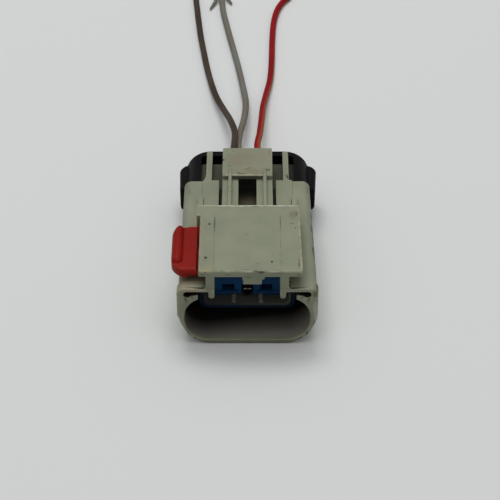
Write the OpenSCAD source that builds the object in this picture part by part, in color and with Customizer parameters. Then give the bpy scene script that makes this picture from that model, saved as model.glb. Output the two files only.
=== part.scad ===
// Sealed three-way cable socket with a latch lever, a sliding position lock and a cut pigtail.
// Millimetres. It rests on z = 0 with its deck up. The mating face looks along -Y, the wires leave along +Y.
// Inside in_frame(), y is measured backwards from the mating face.

/* [Housing] */
// Width over the rim of the mating face
rim_w = 26; // [25.6:0.1:27]
// Height of the rim's top above the underside
rim_h = 13.5; // [13.3:0.1:14.2]
// Length of the thicker bead round the rim
rim_len = 2.2; // [1.5:0.1:4]
// How far the bead stands proud of the body
rim_proud = 0.25; // [0.15:0.05:0.4]
// Bottom of the bead above the underside
bead_low = 0.5; // [0.3:0.1:0.8]
// Mating face to the rear shoulder
housing_len = 32; // [31.5:0.1:34]
// Side wall of the socket
wall = 1.1; // [1:0.05:1.25]
// Wall under the socket
floor_t = 1; // [0.8:0.05:1.4]
// Roof over the socket, beside the latch
roof_t = 0.8; // [0.6:0.05:1]
// Depth of the socket
socket_depth = 16; // [15:0.1:16.4]
// Wall that closes the back of the socket
back_t = 2.2; // [1.5:0.1:3]
// Corner radius of the socket
socket_r = 4.6; // [4:0.1:5]
// Top of the socket's upper corners below the roof
arc_drop = 1.4; // [1.2:0.05:1.6]
// Height of the slots above those corners, at their outer ends
slot_h = 1.45; // [1.1:0.05:1.5]
// Height of the slots at their inner ends
slot_tip = 0.8; // [0.5:0.05:1]
// How far the slots run past the socket's side
slot_past = 0.1; // [0:0.05:0.2]
// How far the webs at the upper corners reach into the socket
web_reach = 2.6; // [1.8:0.1:2.8]
// Radius of the lower outer corners
low_r = 6.7; // [5.6:0.1:6.8]
// Radius of the upper outer corners
top_r = 1.6; // [1:0.1:1.8]

/* [Deck over the latch] */
// Deck's top above the rim's top
deck_rise = 4.1; // [4:0.1:5]
// Deck thickness
deck_t = 1.3; // [1:0.1:1.4]
// Deck length
deck_len = 19; // [18.6:0.05:20.5]
// Deck's front edge behind the mating face
deck_back = 0.15; // [0:0.05:0.4]
// Deck's reach to the right
deck_right = 9.8; // [9.4:0.1:11]
// Deck's reach to the left, over the position lock
deck_left = 8.9; // [8.6:0.1:9]
// Length of the wider wings at the deck's rear
wing_len = 3.1; // [2:0.1:3.4]
// Thickness of the wings
wing_t = 1.2; // [1:0.1:1.6]
// How far the left wing stands out past the deck
wing_step = 0.7; // [0.4:0.1:0.9]
// Height of the gussets behind the wings
gusset_h = 1.1; // [0.6:0.1:1.4]
// Length of the gussets behind the wings
gusset_len = 7; // [5:0.1:9]
// Width between the deck's legs
leg_gap = 12; // [11.4:0.1:12.4]
// Leg thickness
leg_t = 1.6; // [1.4:0.1:1.8]
// Thickness of the rib that goes on below each leg
foot_t = 1.1; // [0.8:0.1:1.4]
// How far that rib hangs below the roof
foot_drop = 1.6; // [1:0.1:1.7]
// Width of the key under the deck's front edge
key_w = 3.4; // [2.5:0.1:4]
// Height of the key
key_h = 1.8; // [1:0.1:2.2]
// Key's middle, right of the socket's middle
key_x = 0.95; // [0:0.05:1.2]
// Thickness of the key
key_t = 1.2; // [0.8:0.1:1.5]
// How far the key's upper part stands out on each side
key_step = 0.5; // [0.3:0.05:0.7]
// Height of the key's upper part
key_step_h = 0.8; // [0.5:0.05:1]
// Inner edge of the raised shoulder strips
strip_in = 5.6; // [5.4:0.1:6]
// Outer edge of the raised shoulder strips
strip_out = 8.8; // [8.4:0.1:9.2]

/* [Core and terminals] */
// Distance between terminals
terminal_pitch = 3.6; // [3.5:0.05:3.7]
// Height of the terminals' axes above the underside
terminal_z = 6.3; // [6.2:0.05:6.5]
// Width of the core
core_w = 16.4; // [15.6:0.1:17]
// Core below the terminals' axes
core_below = 1.9; // [1.8:0.05:2.1]
// Core above the terminals' axes
core_above = 2.2; // [2:0.05:2.4]
// Wall of the tray at the core's front
core_wall = 0.4; // [0.35:0.05:0.5]
// Corner radius of the core
core_r = 1.2; // [1:0.1:1.6]
// Tray's lip behind the mating face
core_back = 5.5; // [4:0.1:6]
// Width of the terminals' boxes
box_w = 2.4; // [2.3:0.05:2.5]
// Height of the terminals' boxes
box_h = 2.2; // [2:0.05:2.3]
// Length of the terminals' boxes
box_len = 7; // [6:0.1:7.4]
// Thickness of the terminals' sheet
sheet = 0.25; // [0.2:0.01:0.3]
// Width of the strip under the crimps
strip_w = 1.6; // [1.2:0.1:2]
// Thickness of that strip
strip_t = 0.35; // [0.3:0.01:0.4]
// Box to the strand crimp
crimp_gap = 2.4; // [2:0.1:3]
// Length of the strand crimp
crimp_len = 2.6; // [2:0.1:3]
// Wall of the strand crimp
crimp_wall = 0.35; // [0.25:0.05:0.4]
// Strand crimp to the end of the insulation
bare_gap = 0.8; // [0.5:0.1:1]
// Insulation's end to the insulation grip
grip_in = 0.3; // [0.2:0.1:0.6]
// Length of the insulation grip
grip_len = 2; // [1.5:0.1:2.4]
// Wall of the insulation grip
grip_wall = 0.33; // [0.28:0.01:0.36]
// Width of the contact spring in the box
spring_w = 1.2; // [1:0.1:1.6]
// Spring's ends in from the box's ends
spring_in = 1; // [0.6:0.1:1.4]
// Length of the spring's two feet
spring_foot = 0.6; // [0.4:0.1:0.8]
// Strands that stand out in front of the crimp
brush_len = 0.6; // [0.4:0.1:0.8]
// Height of the stop behind each terminal's box
stop_h = 0.45; // [0.3:0.05:0.55]
// Length of that stop
stop_len = 1.5; // [1:0.1:2]

/* [Terminal retainer] */
// Retainer's face behind the mating face
retainer_back = 8.2; // [7.8:0.1:8.6]
// Retainer's thickness
retainer_t = 2; // [1.6:0.1:2.4]
// Retainer's width
retainer_w = 13.2; // [12.8:0.1:14]
// Retainer's height above the terminals' axes
retainer_above = 3; // [2.6:0.1:3.2]
// How far the retainer's lower edge stands forward
retainer_lip = 0.45; // [0.2:0.05:0.6]
// Width of its terminal holes
hole_w = 2.25; // [2:0.05:2.3]
// Height of its terminal holes
hole_h = 1.8; // [1.6:0.05:1.85]
// Width of the guide ribs in the tray
guide_w = 0.8; // [0.5:0.05:1]
// Height of the guide ribs in the tray
guide_h = 0.3; // [0.2:0.05:0.35]
// Middle of the guide ribs, off the socket's middle
guide_x = 2.55; // [2.3:0.05:2.8]
// Guide ribs' front behind the tray's lip
guide_back = 0.3; // [0.1:0.1:0.6]
// Length of its two locking arms
arm_len = 4; // [3:0.1:4.5]
// Thickness of its locking arms
arm_t = 0.8; // [0.6:0.05:0.9]
// Height of its locking arms
arm_h = 1.8; // [1.4:0.1:2]
// Locking arms in from the retainer's sides
arm_inset = 0.2; // [0.1:0.05:0.3]

/* [Seals] */
// Thickness of the ring seal
seal_t = 0.9; // [0.7:0.05:1]
// How far the ring seal's lips stand out
lip = 0.25; // [0.1:0.05:0.35]
// Length of the ring seal
seal_len = 6.8; // [6.2:0.1:8]
// Ring seal's front behind the tray's lip
seal_back = 0.15; // [0.05:0.05:0.3]
// Length of each lip
lip_len = 0.7; // [0.5:0.05:0.9]
// Rear lip's front, ahead of the seal's rear end
lip_in = 1.3; // [1:0.1:1.6]
// Distance between the lips
lip_pitch = 1.6; // [1.2:0.1:2]
// Width of the mat seal
mat_w = 16.4; // [15.6:0.1:16.6]
// Height of the mat seal
mat_h = 6; // [5.4:0.1:6.2]
// Length of the mat seal
mat_len = 6; // [5:0.1:6.4]
// Corner radius of the mat seal
mat_r = 2; // [1.5:0.1:2.4]
// How far the mat seal's ribs stand out
mat_rib = 0.25; // [0.15:0.05:0.35]
// Mat seal's rear face inside the tower's end
mat_in = 0.2; // [0.1:0.05:0.4]

/* [Lock lever] */
// Width of the lever
lever_w = 9.9; // [9.6:0.1:10.2]
// Thickness of the lever's plate
lever_t = 1.2; // [1:0.05:1.3]
// Top of the lever's plate below the deck's underside
plate_drop = 1.3; // [1.25:0.05:1.5]
// Pivot behind the mating face
pivot_back = 18; // [17.8:0.1:18.2]
// Radius of the pivot stubs
pin_r = 0.7; // [0.5:0.05:0.8]
// How far the stubs reach into the legs
pin_reach = 1.1; // [0.8:0.1:1.3]
// Length of the hub between the stubs
hub_len = 2.5; // [2:0.1:2.8]
// Lever's front end behind the mating face
lever_back = 5.5; // [5:0.1:7]
// Step from the rear plate down to the front arm
lever_step = 1.35; // [1.3:0.05:1.5]
// Front arm's sides in from the plate's sides
arm_narrow = 0.8; // [0.5:0.1:1.2]
// Width of the front arm's two beams
arm_beam = 1.6; // [1.2:0.1:2]
// Solid length of the front arm ahead of the hub
arm_root = 1; // [0.5:0.1:2]
// Length of the catch
catch_len = 1.6; // [1.2:0.1:2]
// How far the catch hangs below the front arm
catch_drop = 0.7; // [0.4:0.05:0.9]
// Width of the rear window
window_w = 3.54; // [2.8:0.02:4]
// Front of the thumb pad behind the mating face
pad_back = 29.8; // [29:0.1:31]
// Length of the thumb pad
pad_len = 9; // [7:0.1:9.4]
// Width of the thumb pad
pad_w = 9.8; // [9:0.1:10]
// Height of the pad above the plate
pad_rise = 1.3; // [1:0.05:1.5]
// Rise of the plate behind the deck
plate_lift = 0.35; // [0.2:0.05:0.5]
// How far the rear window runs on under the pad
window_under = 2.2; // [1:0.1:4]
// Width of the two long ribs
rib_w = 0.66; // [0.4:0.02:0.8]
// Middle of the long ribs, off the lever's middle
rib_x = 3.4; // [3.2:0.02:3.6]
// How far the long ribs run on over the pad
rib_on = 2.2; // [1:0.1:5]
// Ribs' tops above the pad's top
rib_rise = 0.05; // [0.05:0.05:0.2]
// Largest tilt that the other pieces leave room for, in degrees
lever_tilt = 4.5; // [3:0.5:4.5]

/* [Position lock] */
// Thickness of the slide
slide_t = 1.4; // [1.2:0.05:1.5]
// Width of the slide
slide_w = 12.4; // [11:0.1:12.6]
// Slide's front edge behind the mating face
slide_back = 2.15; // [2:0.05:2.6]
// Slide's outer end, left of the middle
slide_out = 14; // [13.9:0.1:15]
// Slide's inner end, left of the middle
slide_in = 1; // [0.5:0.1:2]
// Width of the grip ridge
ridge_w = 2.1; // [1.6:0.1:2.2]
// Height of the ridge above the slide
ridge_h = 0.85; // [0.5:0.05:1.1]
// Ridge's front end in from the slide's front edge
ridge_front = 1.8; // [1.2:0.1:2.4]
// Ridge's rear end in from the slide's rear edge
ridge_rear = 0.6; // [0.3:0.1:1]
// Radius of the rear corner at the outer end
slide_r = 2; // [1:0.1:2.4]
// Radius of the front corner at the outer end
slide_r_front = 2.8; // [2:0.1:3]

/* [Rear tower and cover] */
// Width of the tower
tower_w = 19.2; // [18.8:0.1:19.6]
// Top of the tower below the rim's top
tower_drop = 2.2; // [2.1:0.05:2.4]
// Underside of the tower
tower_low = 2.1; // [1.9:0.05:2.3]
// Tower behind the shoulder
tower_len = 8; // [7.8:0.1:8.4]
// Radius of the tower's lower corners
tower_r_low = 1.5; // [1:0.1:2]
// Radius of the tower's upper corners
tower_r_top = 1; // [0.6:0.1:1.5]
// Width of the rails beside the pad
rail_w = 1.15; // [0.8:0.05:1.3]
// Middle of the rails, off the socket's middle
rail_x = 7.6; // [7.3:0.05:8]
// Rails behind the shoulder
rail_len = 9.3; // [8.8:0.1:9.8]
// Width of the cover without its ears
cover_w = 24.8; // [24.2:0.1:25.2]
// Top of the cover below the rim's top
cover_drop = 0.9; // [0.8:0.05:1.1]
// Underside of the cover above the floor
cover_low = 0.25; // [0.15:0.05:0.4]
// Length of the cover
cover_len = 10.5; // [10.3:0.1:11.5]
// Wall of the cover
cover_wall = 1.2; // [1:0.05:1.4]
// Rear wall of the cover
cover_back_t = 1.5; // [1.2:0.1:1.8]
// Radius of the cover's upper corners
cover_r = 5; // [3.5:0.1:5.2]
// Width of the notch in the cover's top
notch_w = 18.6; // [17.8:0.1:18.7]
// Width over the ears
ear_w = 27.6; // [27.2:0.1:28.2]
// Length of the ears
ear_len = 7.4; // [6.8:0.1:8]
// Height of the ears
ear_h = 6; // [5.4:0.1:6.4]
// Middle of the ears above the underside
ear_z = 6.2; // [6:0.1:6.4]
// Wall of the ears
ear_t = 1; // [0.8:0.1:1.1]
// Radius of the ears' edges
ear_r = 1; // [0.6:0.1:1.4]
// Ears' rear end in from the cover's rear face
ear_in = 0.4; // [0.2:0.1:0.8]
// Height of the snap ramps on the tower
ramp_h = 3.4; // [2.6:0.1:3.8]
// How far the snap ramps stand out
ramp_out = 2.3; // [1.9:0.05:2.5]
// Length of the snap ramps
ramp_len = 3.2; // [2.6:0.1:3.6]
// Length of the ramps' flat top
ramp_flat = 0.8; // [0.5:0.1:1.2]
// Ramps' front behind the ears' front
ramp_in = 1.3; // [1:0.1:1.6]
// Middle of the cover's stay bars above and below the ramps
stay_off = 0.6; // [0.55:0.05:0.8]
// Thickness of the stay bars
stay_t = 0.8; // [0.6:0.1:0.9]
// Room round each wire in the cover
wire_room = 0.35; // [0.2:0.05:0.4]
// Wall of the collar round each wire
collar_wall = 0.5; // [0.4:0.05:0.6]

/* [Wires] */
// Diameter over the insulation
wire_d = 1.4; // [1.3:0.05:1.6]
// Diameter of the bare strands
strand_d = 0.9; // [0.8:0.05:1]

/* [Clearances] */
// Room round pieces that slide or slip in
fit = 0.1; // [0.05:0.01:0.14]
// Room round the seals, the wires and the snapped cover
seat = 0.03; // [0.02:0.01:0.05]
// Radial room round the pivot stubs
pin_clear = 0.05; // [0.02:0.01:0.1]

/* [Hidden] */
$fn = 64;
// Overlap of pieces of one moulding, and reach of cuts past a face
lap = 0.2;
past = 1;
weld = 0.01;

// Housing
rim_half = rim_w / 2;
body_half = rim_half - rim_proud;
body_top = rim_h - rim_proud;
tower_top = rim_h - tower_drop;
sock_half = body_half - wall;
sock_top = rim_h - roof_t;
arc_top = sock_top - arc_drop;
web_tip = sock_half - web_reach;
slot_end = sock_half + slot_past;
slot_r = slot_h / 2;
slot_x = slot_end - slot_r;
back_end = socket_depth + back_t;

// Deck and legs
deck_top = rim_h + deck_rise;
deck_under = deck_top - deck_t;
deck_end = deck_back + deck_len;
leg_in = leg_gap / 2;
leg_out = leg_in + leg_t;
wing_front = deck_end - wing_len;
wing_left = deck_left + wing_step;

// Position lock
slide_top = deck_under - fit;
slide_under = slide_top - slide_t;
slide_end = slide_back + slide_w;

// Lever: the front arm passes under the position lock at full tilt
lever_half = lever_w / 2;
plate_top = deck_under - plate_drop;
plate_under = plate_top - lever_t;
arm_top = plate_top - lever_step;
arm_under = arm_top - lever_t;
pivot_z = (plate_top + arm_under) / 2;
hub_half = hub_len / 2;
pin_end = leg_in + pin_reach;
pad_end = pad_back + pad_len;
rear_top = plate_top + plate_lift;
arm_half = lever_half - arm_narrow;

// Core, terminals and retainer
core_half = core_w / 2;
core_z0 = terminal_z - core_below;
core_z1 = terminal_z + core_above;
tray_z = core_z0 + core_wall;
core_face = retainer_back + retainer_t + fit;
cavity_half = box_w / 2 + fit;
cavity_h = box_h / 2 + fit;
box_y = core_face + fit;
box_end = box_y + box_len;
retainer_half = retainer_w / 2;
retainer_z0 = tray_z + fit;
retainer_z1 = terminal_z + retainer_above;
arm_out = retainer_half - arm_inset;
arm_in = arm_out - arm_t;

// Rear tower and cover
tower_half = tower_w / 2;
cover_top = rim_h - cover_drop;
tower_end = housing_len + tower_len;
mat_y1 = tower_end - mat_in;
mat_y0 = mat_y1 - mat_len;
cover_half = cover_w / 2;
cover_y0 = housing_len + fit;
cover_y1 = cover_y0 + cover_len;
cover_back = cover_y1 - cover_back_t;
ear_half = ear_w / 2;
ear_y1 = cover_y1 - ear_in;
ear_y0 = ear_y1 - ear_len;
ramp_y0 = ear_y0 + ramp_in;
ramp_y1 = ramp_y0 + ramp_len;

// Crimps, strands and wires, with the wires' free runs as [right, behind the mating face, up]
wire_r = wire_d / 2;
strand_r = strand_d / 2;
crimp_y0 = box_end + crimp_gap;
crimp_y1 = crimp_y0 + crimp_len;
wire_y0 = crimp_y1 + bare_gap;
grip_y0 = wire_y0 + grip_in;
grip_y1 = grip_y0 + grip_len;
BROWN_RUN = [[-3.6, 45, 6.3], [-3.4, 48.5, 6.8], [-3.1, 52, 7], [-3, 57.5, 6.2], [-3.9, 63.8, 4.7],
  [-5.2, 69.5, 3.3], [-6.8, 75.6, 2], [-8.1, 82, 1.1], [-9.3, 89, 0.75], [-10.3, 96, 0.75],
  [-11.2, 103, 0.75], [-11.8, 109, 0.75], [-12.3, 114.5, 0.75], [-12.7, 119, 0.75], [-13, 124, 0.75]];
GREY_RUN = [[0, 45, 6.3], [-1.1, 48.5, 6], [-1.95, 53, 5.6], [-1.65, 59, 4.7], [-1, 64.3, 3.8],
  [-0.5, 70.5, 2.6], [-0.5, 75.5, 1.8], [-1.2, 82.5, 1], [-2.2, 90, 0.75], [-3.25, 96.5, 0.75],
  [-4.25, 102.5, 0.75], [-5.2, 108.5, 0.75], [-6, 114, 0.75], [-6.4, 119, 0.75], [-6.5, 121, 0.75]];
RED_RUN = [[3.6, 45, 6.3], [2.75, 48.5, 6.1], [2.05, 53, 5.8], [2.6, 59, 4.8], [3, 65, 3.7], [3.4, 72, 2.4],
  [4.1, 78, 1.4], [5.1, 85, 0.85], [5.5, 91.5, 0.75], [5.7, 99, 0.75], [5.9, 104.5, 0.75],
  [6.2, 109, 0.75], [6.8, 113, 0.75], [7.7, 116.2, 0.75], [8.8, 118.5, 0.75], [11.1, 121.5, 0.75]];

// Moves a piece from the mating face's frame to the part's frame.
module in_frame() {
  translate([0, -housing_len / 2, 0]) children();
}

// A box between two limits on each axis.
module block(x0, x1, y0, y1, z0, z1) {
  translate([x0, y0, z0]) cube([x1 - x0, y1 - y0, z1 - z0]);
}

// A pair, left and right.
module both() {
  children();
  mirror([1, 0, 0]) children();
}

// Extrudes a profile of x and z from y0 to y1.
module along_y(y0, y1) {
  translate([0, y1, 0]) rotate([90, 0, 0]) linear_extrude(height = y1 - y0) children();
}

// A round bar along y.
module rod(x, z, r, y0, y1) {
  translate([x, y0, z]) rotate([-90, 0, 0]) cylinder(r = r, h = y1 - y0);
}

// A rounded profile, with its own radius at the lower and the upper corners, each up to half its height.
module rounded(half_w, z0, z1, r_low, r_top) {
  low = min(r_low, (z1 - z0) / 2 - weld);
  top = min(r_top, (z1 - z0) / 2 - weld);
  translate([-half_w, z0 + low]) square([2 * half_w, z1 - z0 - low - top]);
  translate([low - half_w, z0]) square([2 * (half_w - low), low + weld]);
  translate([top - half_w, z1 - top - weld]) square([2 * (half_w - top), top + weld]);
  for (side = [-1, 1]) {
    translate([side * (half_w - low), z0 + low]) circle(r = low);
    translate([side * (half_w - top), z1 - top]) circle(r = top);
  }
}

// The socket's mouth: a rounded opening, with slots above its upper corners that leave a beaked web.
module socket_profile() {
  rounded(sock_half, floor_t, arc_top, socket_r, socket_r);
  translate([-web_tip, arc_top - socket_r]) square([2 * web_tip, sock_top - arc_top + socket_r]);
  both() {
    translate([slot_x, sock_top - slot_r]) circle(r = slot_r);
    polygon([[web_tip - lap, sock_top], [slot_x, sock_top], [slot_x, sock_top - slot_h + lap],
      [web_tip, sock_top - slot_tip], [web_tip - lap, sock_top - slot_tip]]);
  }
}

// Shroud, body and raised shoulder strips, hollow in front and behind.
module shroud() {
  difference() {
    union() {
      along_y(0, rim_len) rounded(rim_half, bead_low, rim_h, low_r, top_r);
      along_y(0, housing_len) rounded(body_half, 0, body_top, low_r - rim_proud, top_r);
      both() block(strip_in, strip_out, deck_end - lap, housing_len, body_top - lap, rim_h);
    }
    along_y(-past, socket_depth) socket_profile();
    along_y(back_end, housing_len + past)
      rounded(sock_half, floor_t, tower_top, low_r - rim_proud - wall, top_r);
    block(-leg_in, leg_in, -past, deck_end, tower_top, deck_top);
    block(-strip_in, strip_in, -past, housing_len + past, tower_top, deck_top);
  }
}

// Deck, its legs with the ribs below them, its rear wings and its key.
module deck() {
  block(-deck_left, deck_right, deck_back, deck_end, deck_under, deck_top);
  block(-wing_left, -deck_left + lap, wing_front, deck_end, deck_under, deck_top);
  block(-wing_left, wing_t - wing_left, wing_front, deck_end, body_top - lap, deck_under + lap);
  block(deck_right - wing_t, deck_right, wing_front, deck_end, body_top - lap, deck_under + lap);
  both() block(strip_out - lap, wing_left, deck_end - lap, deck_end + gusset_len,
    body_top - lap, body_top + gusset_h);
  difference() {
    both() block(leg_in, leg_out, deck_back, deck_end, sock_top - lap, deck_under + lap);
    block(-leg_out - past, -leg_in + past, slide_back - fit, slide_end + fit, slide_under - fit, deck_under);
  }
  both() {
    block(leg_in, leg_in + foot_t, 0, socket_depth + lap, sock_top - foot_drop + foot_t / 2, sock_top + lap);
    rod(leg_in + foot_t / 2, sock_top - foot_drop + foot_t / 2, foot_t / 2, 0, socket_depth + lap);
  }
  block(key_x - key_w / 2, key_x + key_w / 2, deck_back, deck_back + key_t,
    deck_under - key_h, deck_under + lap);
  block(key_x - key_w / 2 - key_step, key_x + key_w / 2 + key_step, deck_back, deck_back + key_t,
    deck_under - key_step_h, deck_under + lap);
}

// Core in the socket, with an open tray for the retainer at its front.
module core() {
  difference() {
    along_y(core_back, socket_depth + lap) rounded(core_half, core_z0, core_z1, core_r, core_r);
    along_y(core_back - past, core_face)
      rounded(core_half - core_wall, tray_z, core_z1 + 2 * past, core_r - core_wall / 2, past / 2);
  }
  both() block(guide_x - guide_w / 2, guide_x + guide_w / 2, core_back + guide_back, core_face + lap,
    tray_z - lap, tray_z + guide_h);
}

// Rear tower with the snap ramps for the cover, and the rails beside the thumb pad.
module tower() {
  along_y(back_end - lap, tower_end) rounded(tower_half, tower_low, tower_top, tower_r_low, tower_r_top);
  both() {
    translate([0, 0, ear_z - ramp_h / 2]) linear_extrude(height = ramp_h)
      polygon([[tower_half - lap, ramp_y0], [tower_half + ramp_out, ramp_y0],
        [tower_half + ramp_out, ramp_y0 + ramp_flat], [tower_half - lap, ramp_y1]]);
    block(rail_x - rail_w / 2, rail_x + rail_w / 2, housing_len - lap, tower_end, tower_top - lap, rim_h);
    block(rail_x - rail_w / 2, rail_x + rail_w / 2, housing_len - lap, housing_len + rail_len,
      cover_top + fit, rim_h);
  }
}

// Cuts for the terminals, the retainer's arms, the mat seal and the lever's stubs.
module housing_cuts() {
  for (i = [-1, 0, 1]) {
    x = i * terminal_pitch;
    block(x - cavity_half, x + cavity_half, core_face - lap, box_end + fit,
      terminal_z - cavity_h, terminal_z + cavity_h);
    block(x - cavity_half, x + cavity_half, box_end, mat_y0 + lap,
      terminal_z - cavity_h, terminal_z + cavity_h - stop_h);
    block(x - cavity_half, x + cavity_half, box_end + stop_len, mat_y0 + lap,
      terminal_z - cavity_h, terminal_z + cavity_h);
  }
  both() block(arm_in - fit, arm_out + fit, core_face - lap, core_face + arm_len + fit,
    terminal_z - arm_h / 2 - fit, terminal_z + arm_h / 2 + fit);
  along_y(mat_y0 - seat, tower_end + past)
    rounded(mat_w / 2 + seat, terminal_z - mat_h / 2 - seat, terminal_z + mat_h / 2 + seat, mat_r, mat_r);
  translate([-pin_end - fit, pivot_back, pivot_z]) rotate([0, 90, 0])
    cylinder(r = pin_r + pin_clear, h = 2 * (pin_end + fit));
}

module housing() {
  color("#9d9e90") in_frame() difference() {
    union() {
      shroud();
      deck();
      core();
      tower();
    }
    housing_cuts();
  }
}

// The lever rocks on its stubs: the pad goes down and the catch at the front comes up.
module lock_lever() {
  color("#a3a496") in_frame() {
    difference() {
      union() {
        block(-lever_half, lever_half, pivot_back - hub_half, pad_back + lap, plate_under, plate_top);
        block(-lever_half, lever_half, deck_end + fit, pad_back + lap, plate_under, rear_top);
      }
      block(-window_w / 2, window_w / 2, pivot_back + hub_half, pad_back + window_under,
        plate_under - past, rear_top + past);
    }
    difference() {
      block(-pad_w / 2, pad_w / 2, pad_back, pad_end, plate_under, plate_top + pad_rise);
      block(-window_w / 2, window_w / 2, pad_back - past, pad_back + window_under, plate_under - past, rear_top);
    }
    block(-lever_half, lever_half, pivot_back - hub_half, pivot_back + hub_half, arm_under, plate_top);
    difference() {
      block(-arm_half, arm_half, lever_back, pivot_back, arm_under, arm_top);
      block(arm_beam - arm_half, arm_half - arm_beam, lever_back + catch_len,
        pivot_back - hub_half - arm_root, arm_under - past, arm_top + past);
    }
    block(-arm_half, arm_half, lever_back, lever_back + catch_len, arm_under - catch_drop, arm_top);
    both() block(rib_x - rib_w / 2, rib_x + rib_w / 2, deck_end + fit, pad_back + rib_on,
      plate_top - lap, plate_top + pad_rise + rib_rise);
    translate([-pin_end, pivot_back, pivot_z]) rotate([0, 90, 0]) cylinder(r = pin_r, h = 2 * pin_end);
  }
}

// The lock slides to the right through the left leg. It is drawn pulled out, as delivered.
module slide_plan() {
  front_y = slide_back + slide_r_front;
  rear_y = slide_end - slide_r;
  translate([slide_r_front - slide_out, slide_back]) square([slide_out - slide_r_front - slide_in, slide_w]);
  translate([slide_r - slide_out, rear_y]) square([slide_out - slide_r - slide_in, slide_r]);
  translate([-slide_out, front_y]) square([slide_r_front + lap, rear_y - front_y]);
  translate([slide_r_front - slide_out, front_y]) circle(r = slide_r_front);
  translate([slide_r - slide_out, rear_y]) circle(r = slide_r);
}

module position_lock() {
  ridge_r = ridge_w / 2;
  ridge_z = slide_top + ridge_h - ridge_r;
  ridge_y = slide_back + ridge_front + ridge_r;
  color("#a3332f") in_frame() {
    translate([0, 0, slide_under]) linear_extrude(height = slide_t) slide_plan();
    intersection() {
      translate([0, 0, slide_under]) linear_extrude(height = slide_t + ridge_h + past) slide_plan();
      union() {
        rod(ridge_r - slide_out, ridge_z, ridge_r, ridge_y, slide_end - ridge_rear);
        translate([ridge_r - slide_out, ridge_y, ridge_z]) sphere(r = ridge_r);
        block(-slide_out, ridge_w - slide_out, ridge_y, slide_end - ridge_rear, slide_under + lap, ridge_z);
      }
    }
  }
}

// The retainer slides forwards to let the terminals out. Its arms lock into the core.
module terminal_retainer() {
  color("#2f6c9f") in_frame() {
    difference() {
      union() {
        block(-retainer_half, retainer_half, retainer_back, retainer_back + retainer_t,
          retainer_z0, retainer_z1);
        block(-retainer_half, retainer_half, retainer_back - retainer_lip, retainer_back + lap,
          retainer_z0, terminal_z - hole_h / 2);
      }
      for (i = [-1, 1])
        block(i * terminal_pitch - hole_w / 2, i * terminal_pitch + hole_w / 2,
          retainer_back - past, core_face + past, terminal_z - hole_h / 2, terminal_z + hole_h / 2);
      block(-hole_w / 2, hole_w / 2, retainer_back - past, core_face + past,
        retainer_z0 - past, terminal_z + hole_h / 2);
      both() block(guide_x - guide_w / 2 - fit, guide_x + guide_w / 2 + fit,
        retainer_back - past, core_face + past, retainer_z0 - past, tray_z + guide_h + fit);
    }
    both() block(arm_in, arm_out, retainer_back + lap, core_face + arm_len,
      terminal_z - arm_h / 2, terminal_z + arm_h / 2);
  }
}

// Ring seal round the core. Its front skirt is open above the tray.
module ring_seal() {
  seal_y0 = core_back + seal_back;
  seal_y1 = seal_y0 + seal_len;
  color("#1d4168") in_frame() difference() {
    union() {
      along_y(seal_y0, seal_y1)
        rounded(core_half + seal_t, core_z0 - seal_t, core_z1 + seal_t,
          core_r + seal_t - lip, core_r + seal_t - lip);
      for (y = [seal_y1 - lip_in, seal_y1 - lip_in - lip_pitch])
        along_y(y, y + lip_len)
          rounded(core_half + seal_t + lip, core_z0 - seal_t - lip, core_z1 + seal_t + lip,
            core_r + seal_t, core_r + seal_t);
    }
    along_y(seal_y0 - past, seal_y1 + past)
      rounded(core_half + seat, core_z0 - seat, core_z1 + seat, core_r + seat, core_r + seat);
    block(-rim_half, rim_half, seal_y0 - past, core_face + fit, core_z1, rim_h);
  }
}

// Mat seal with three ribs, a bore for each wire.
module mat_seal() {
  rib = mat_len / 6;
  color("#3b3f45") in_frame() difference() {
    union() {
      along_y(mat_y0, mat_y1) rounded(mat_w / 2 - mat_rib, terminal_z - mat_h / 2 + mat_rib,
        terminal_z + mat_h / 2 - mat_rib, mat_r - mat_rib, mat_r - mat_rib);
      for (y = [mat_y0 + rib / 2, mat_y0 + 2.5 * rib, mat_y0 + 4.5 * rib])
        along_y(y, y + rib) rounded(mat_w / 2, terminal_z - mat_h / 2, terminal_z + mat_h / 2, mat_r, mat_r);
    }
    for (i = [-1, 0, 1]) rod(i * terminal_pitch, terminal_z, wire_r + seat, mat_y0 - past, mat_y1 + past);
  }
}

// Rear cover: a cap snapped over the tower, with a collar that holds the mat seal at each wire.
module rear_cover() {
  collar_r = wire_r + wire_room + collar_wall;
  color("#26272a") in_frame() difference() {
    union() {
      difference() {
        union() {
          along_y(cover_y0, cover_y1) rounded(cover_half, cover_low, cover_top, low_r - rim_proud, cover_r);
          along_y(ear_y0, ear_y1) rounded(ear_half, ear_z - ear_h / 2, ear_z + ear_h / 2, ear_r, ear_r);
        }
        along_y(cover_y0 - past, cover_back)
          rounded(cover_half - cover_wall, cover_low + cover_wall, cover_top - cover_wall + lap,
            low_r - rim_proud - cover_wall, cover_r - cover_wall);
        block(-notch_w / 2, notch_w / 2, cover_y0 - past, cover_back, terminal_z, cover_top + past);
        both() block(tower_half + fit, ear_half - ear_t, ramp_y0 - fit, ramp_y1 + fit,
          ear_z - ramp_h / 2 - fit, ear_z + ramp_h / 2 + fit);
      }
      both() for (z = [ear_z - ramp_h / 2 - stay_off, ear_z + ramp_h / 2 + stay_off])
        block(tower_half + seat, cover_half - cover_wall + lap, cover_y0, cover_back + lap,
          z - stay_t / 2, z + stay_t / 2);
      for (i = [-1, 0, 1]) rod(i * terminal_pitch, terminal_z, collar_r, mat_y1 + seat, cover_y1 - lap);
    }
    for (i = [-1, 0, 1])
      rod(i * terminal_pitch, terminal_z, wire_r + wire_room, mat_y1 - past, cover_y1 + past);
  }
}

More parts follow.
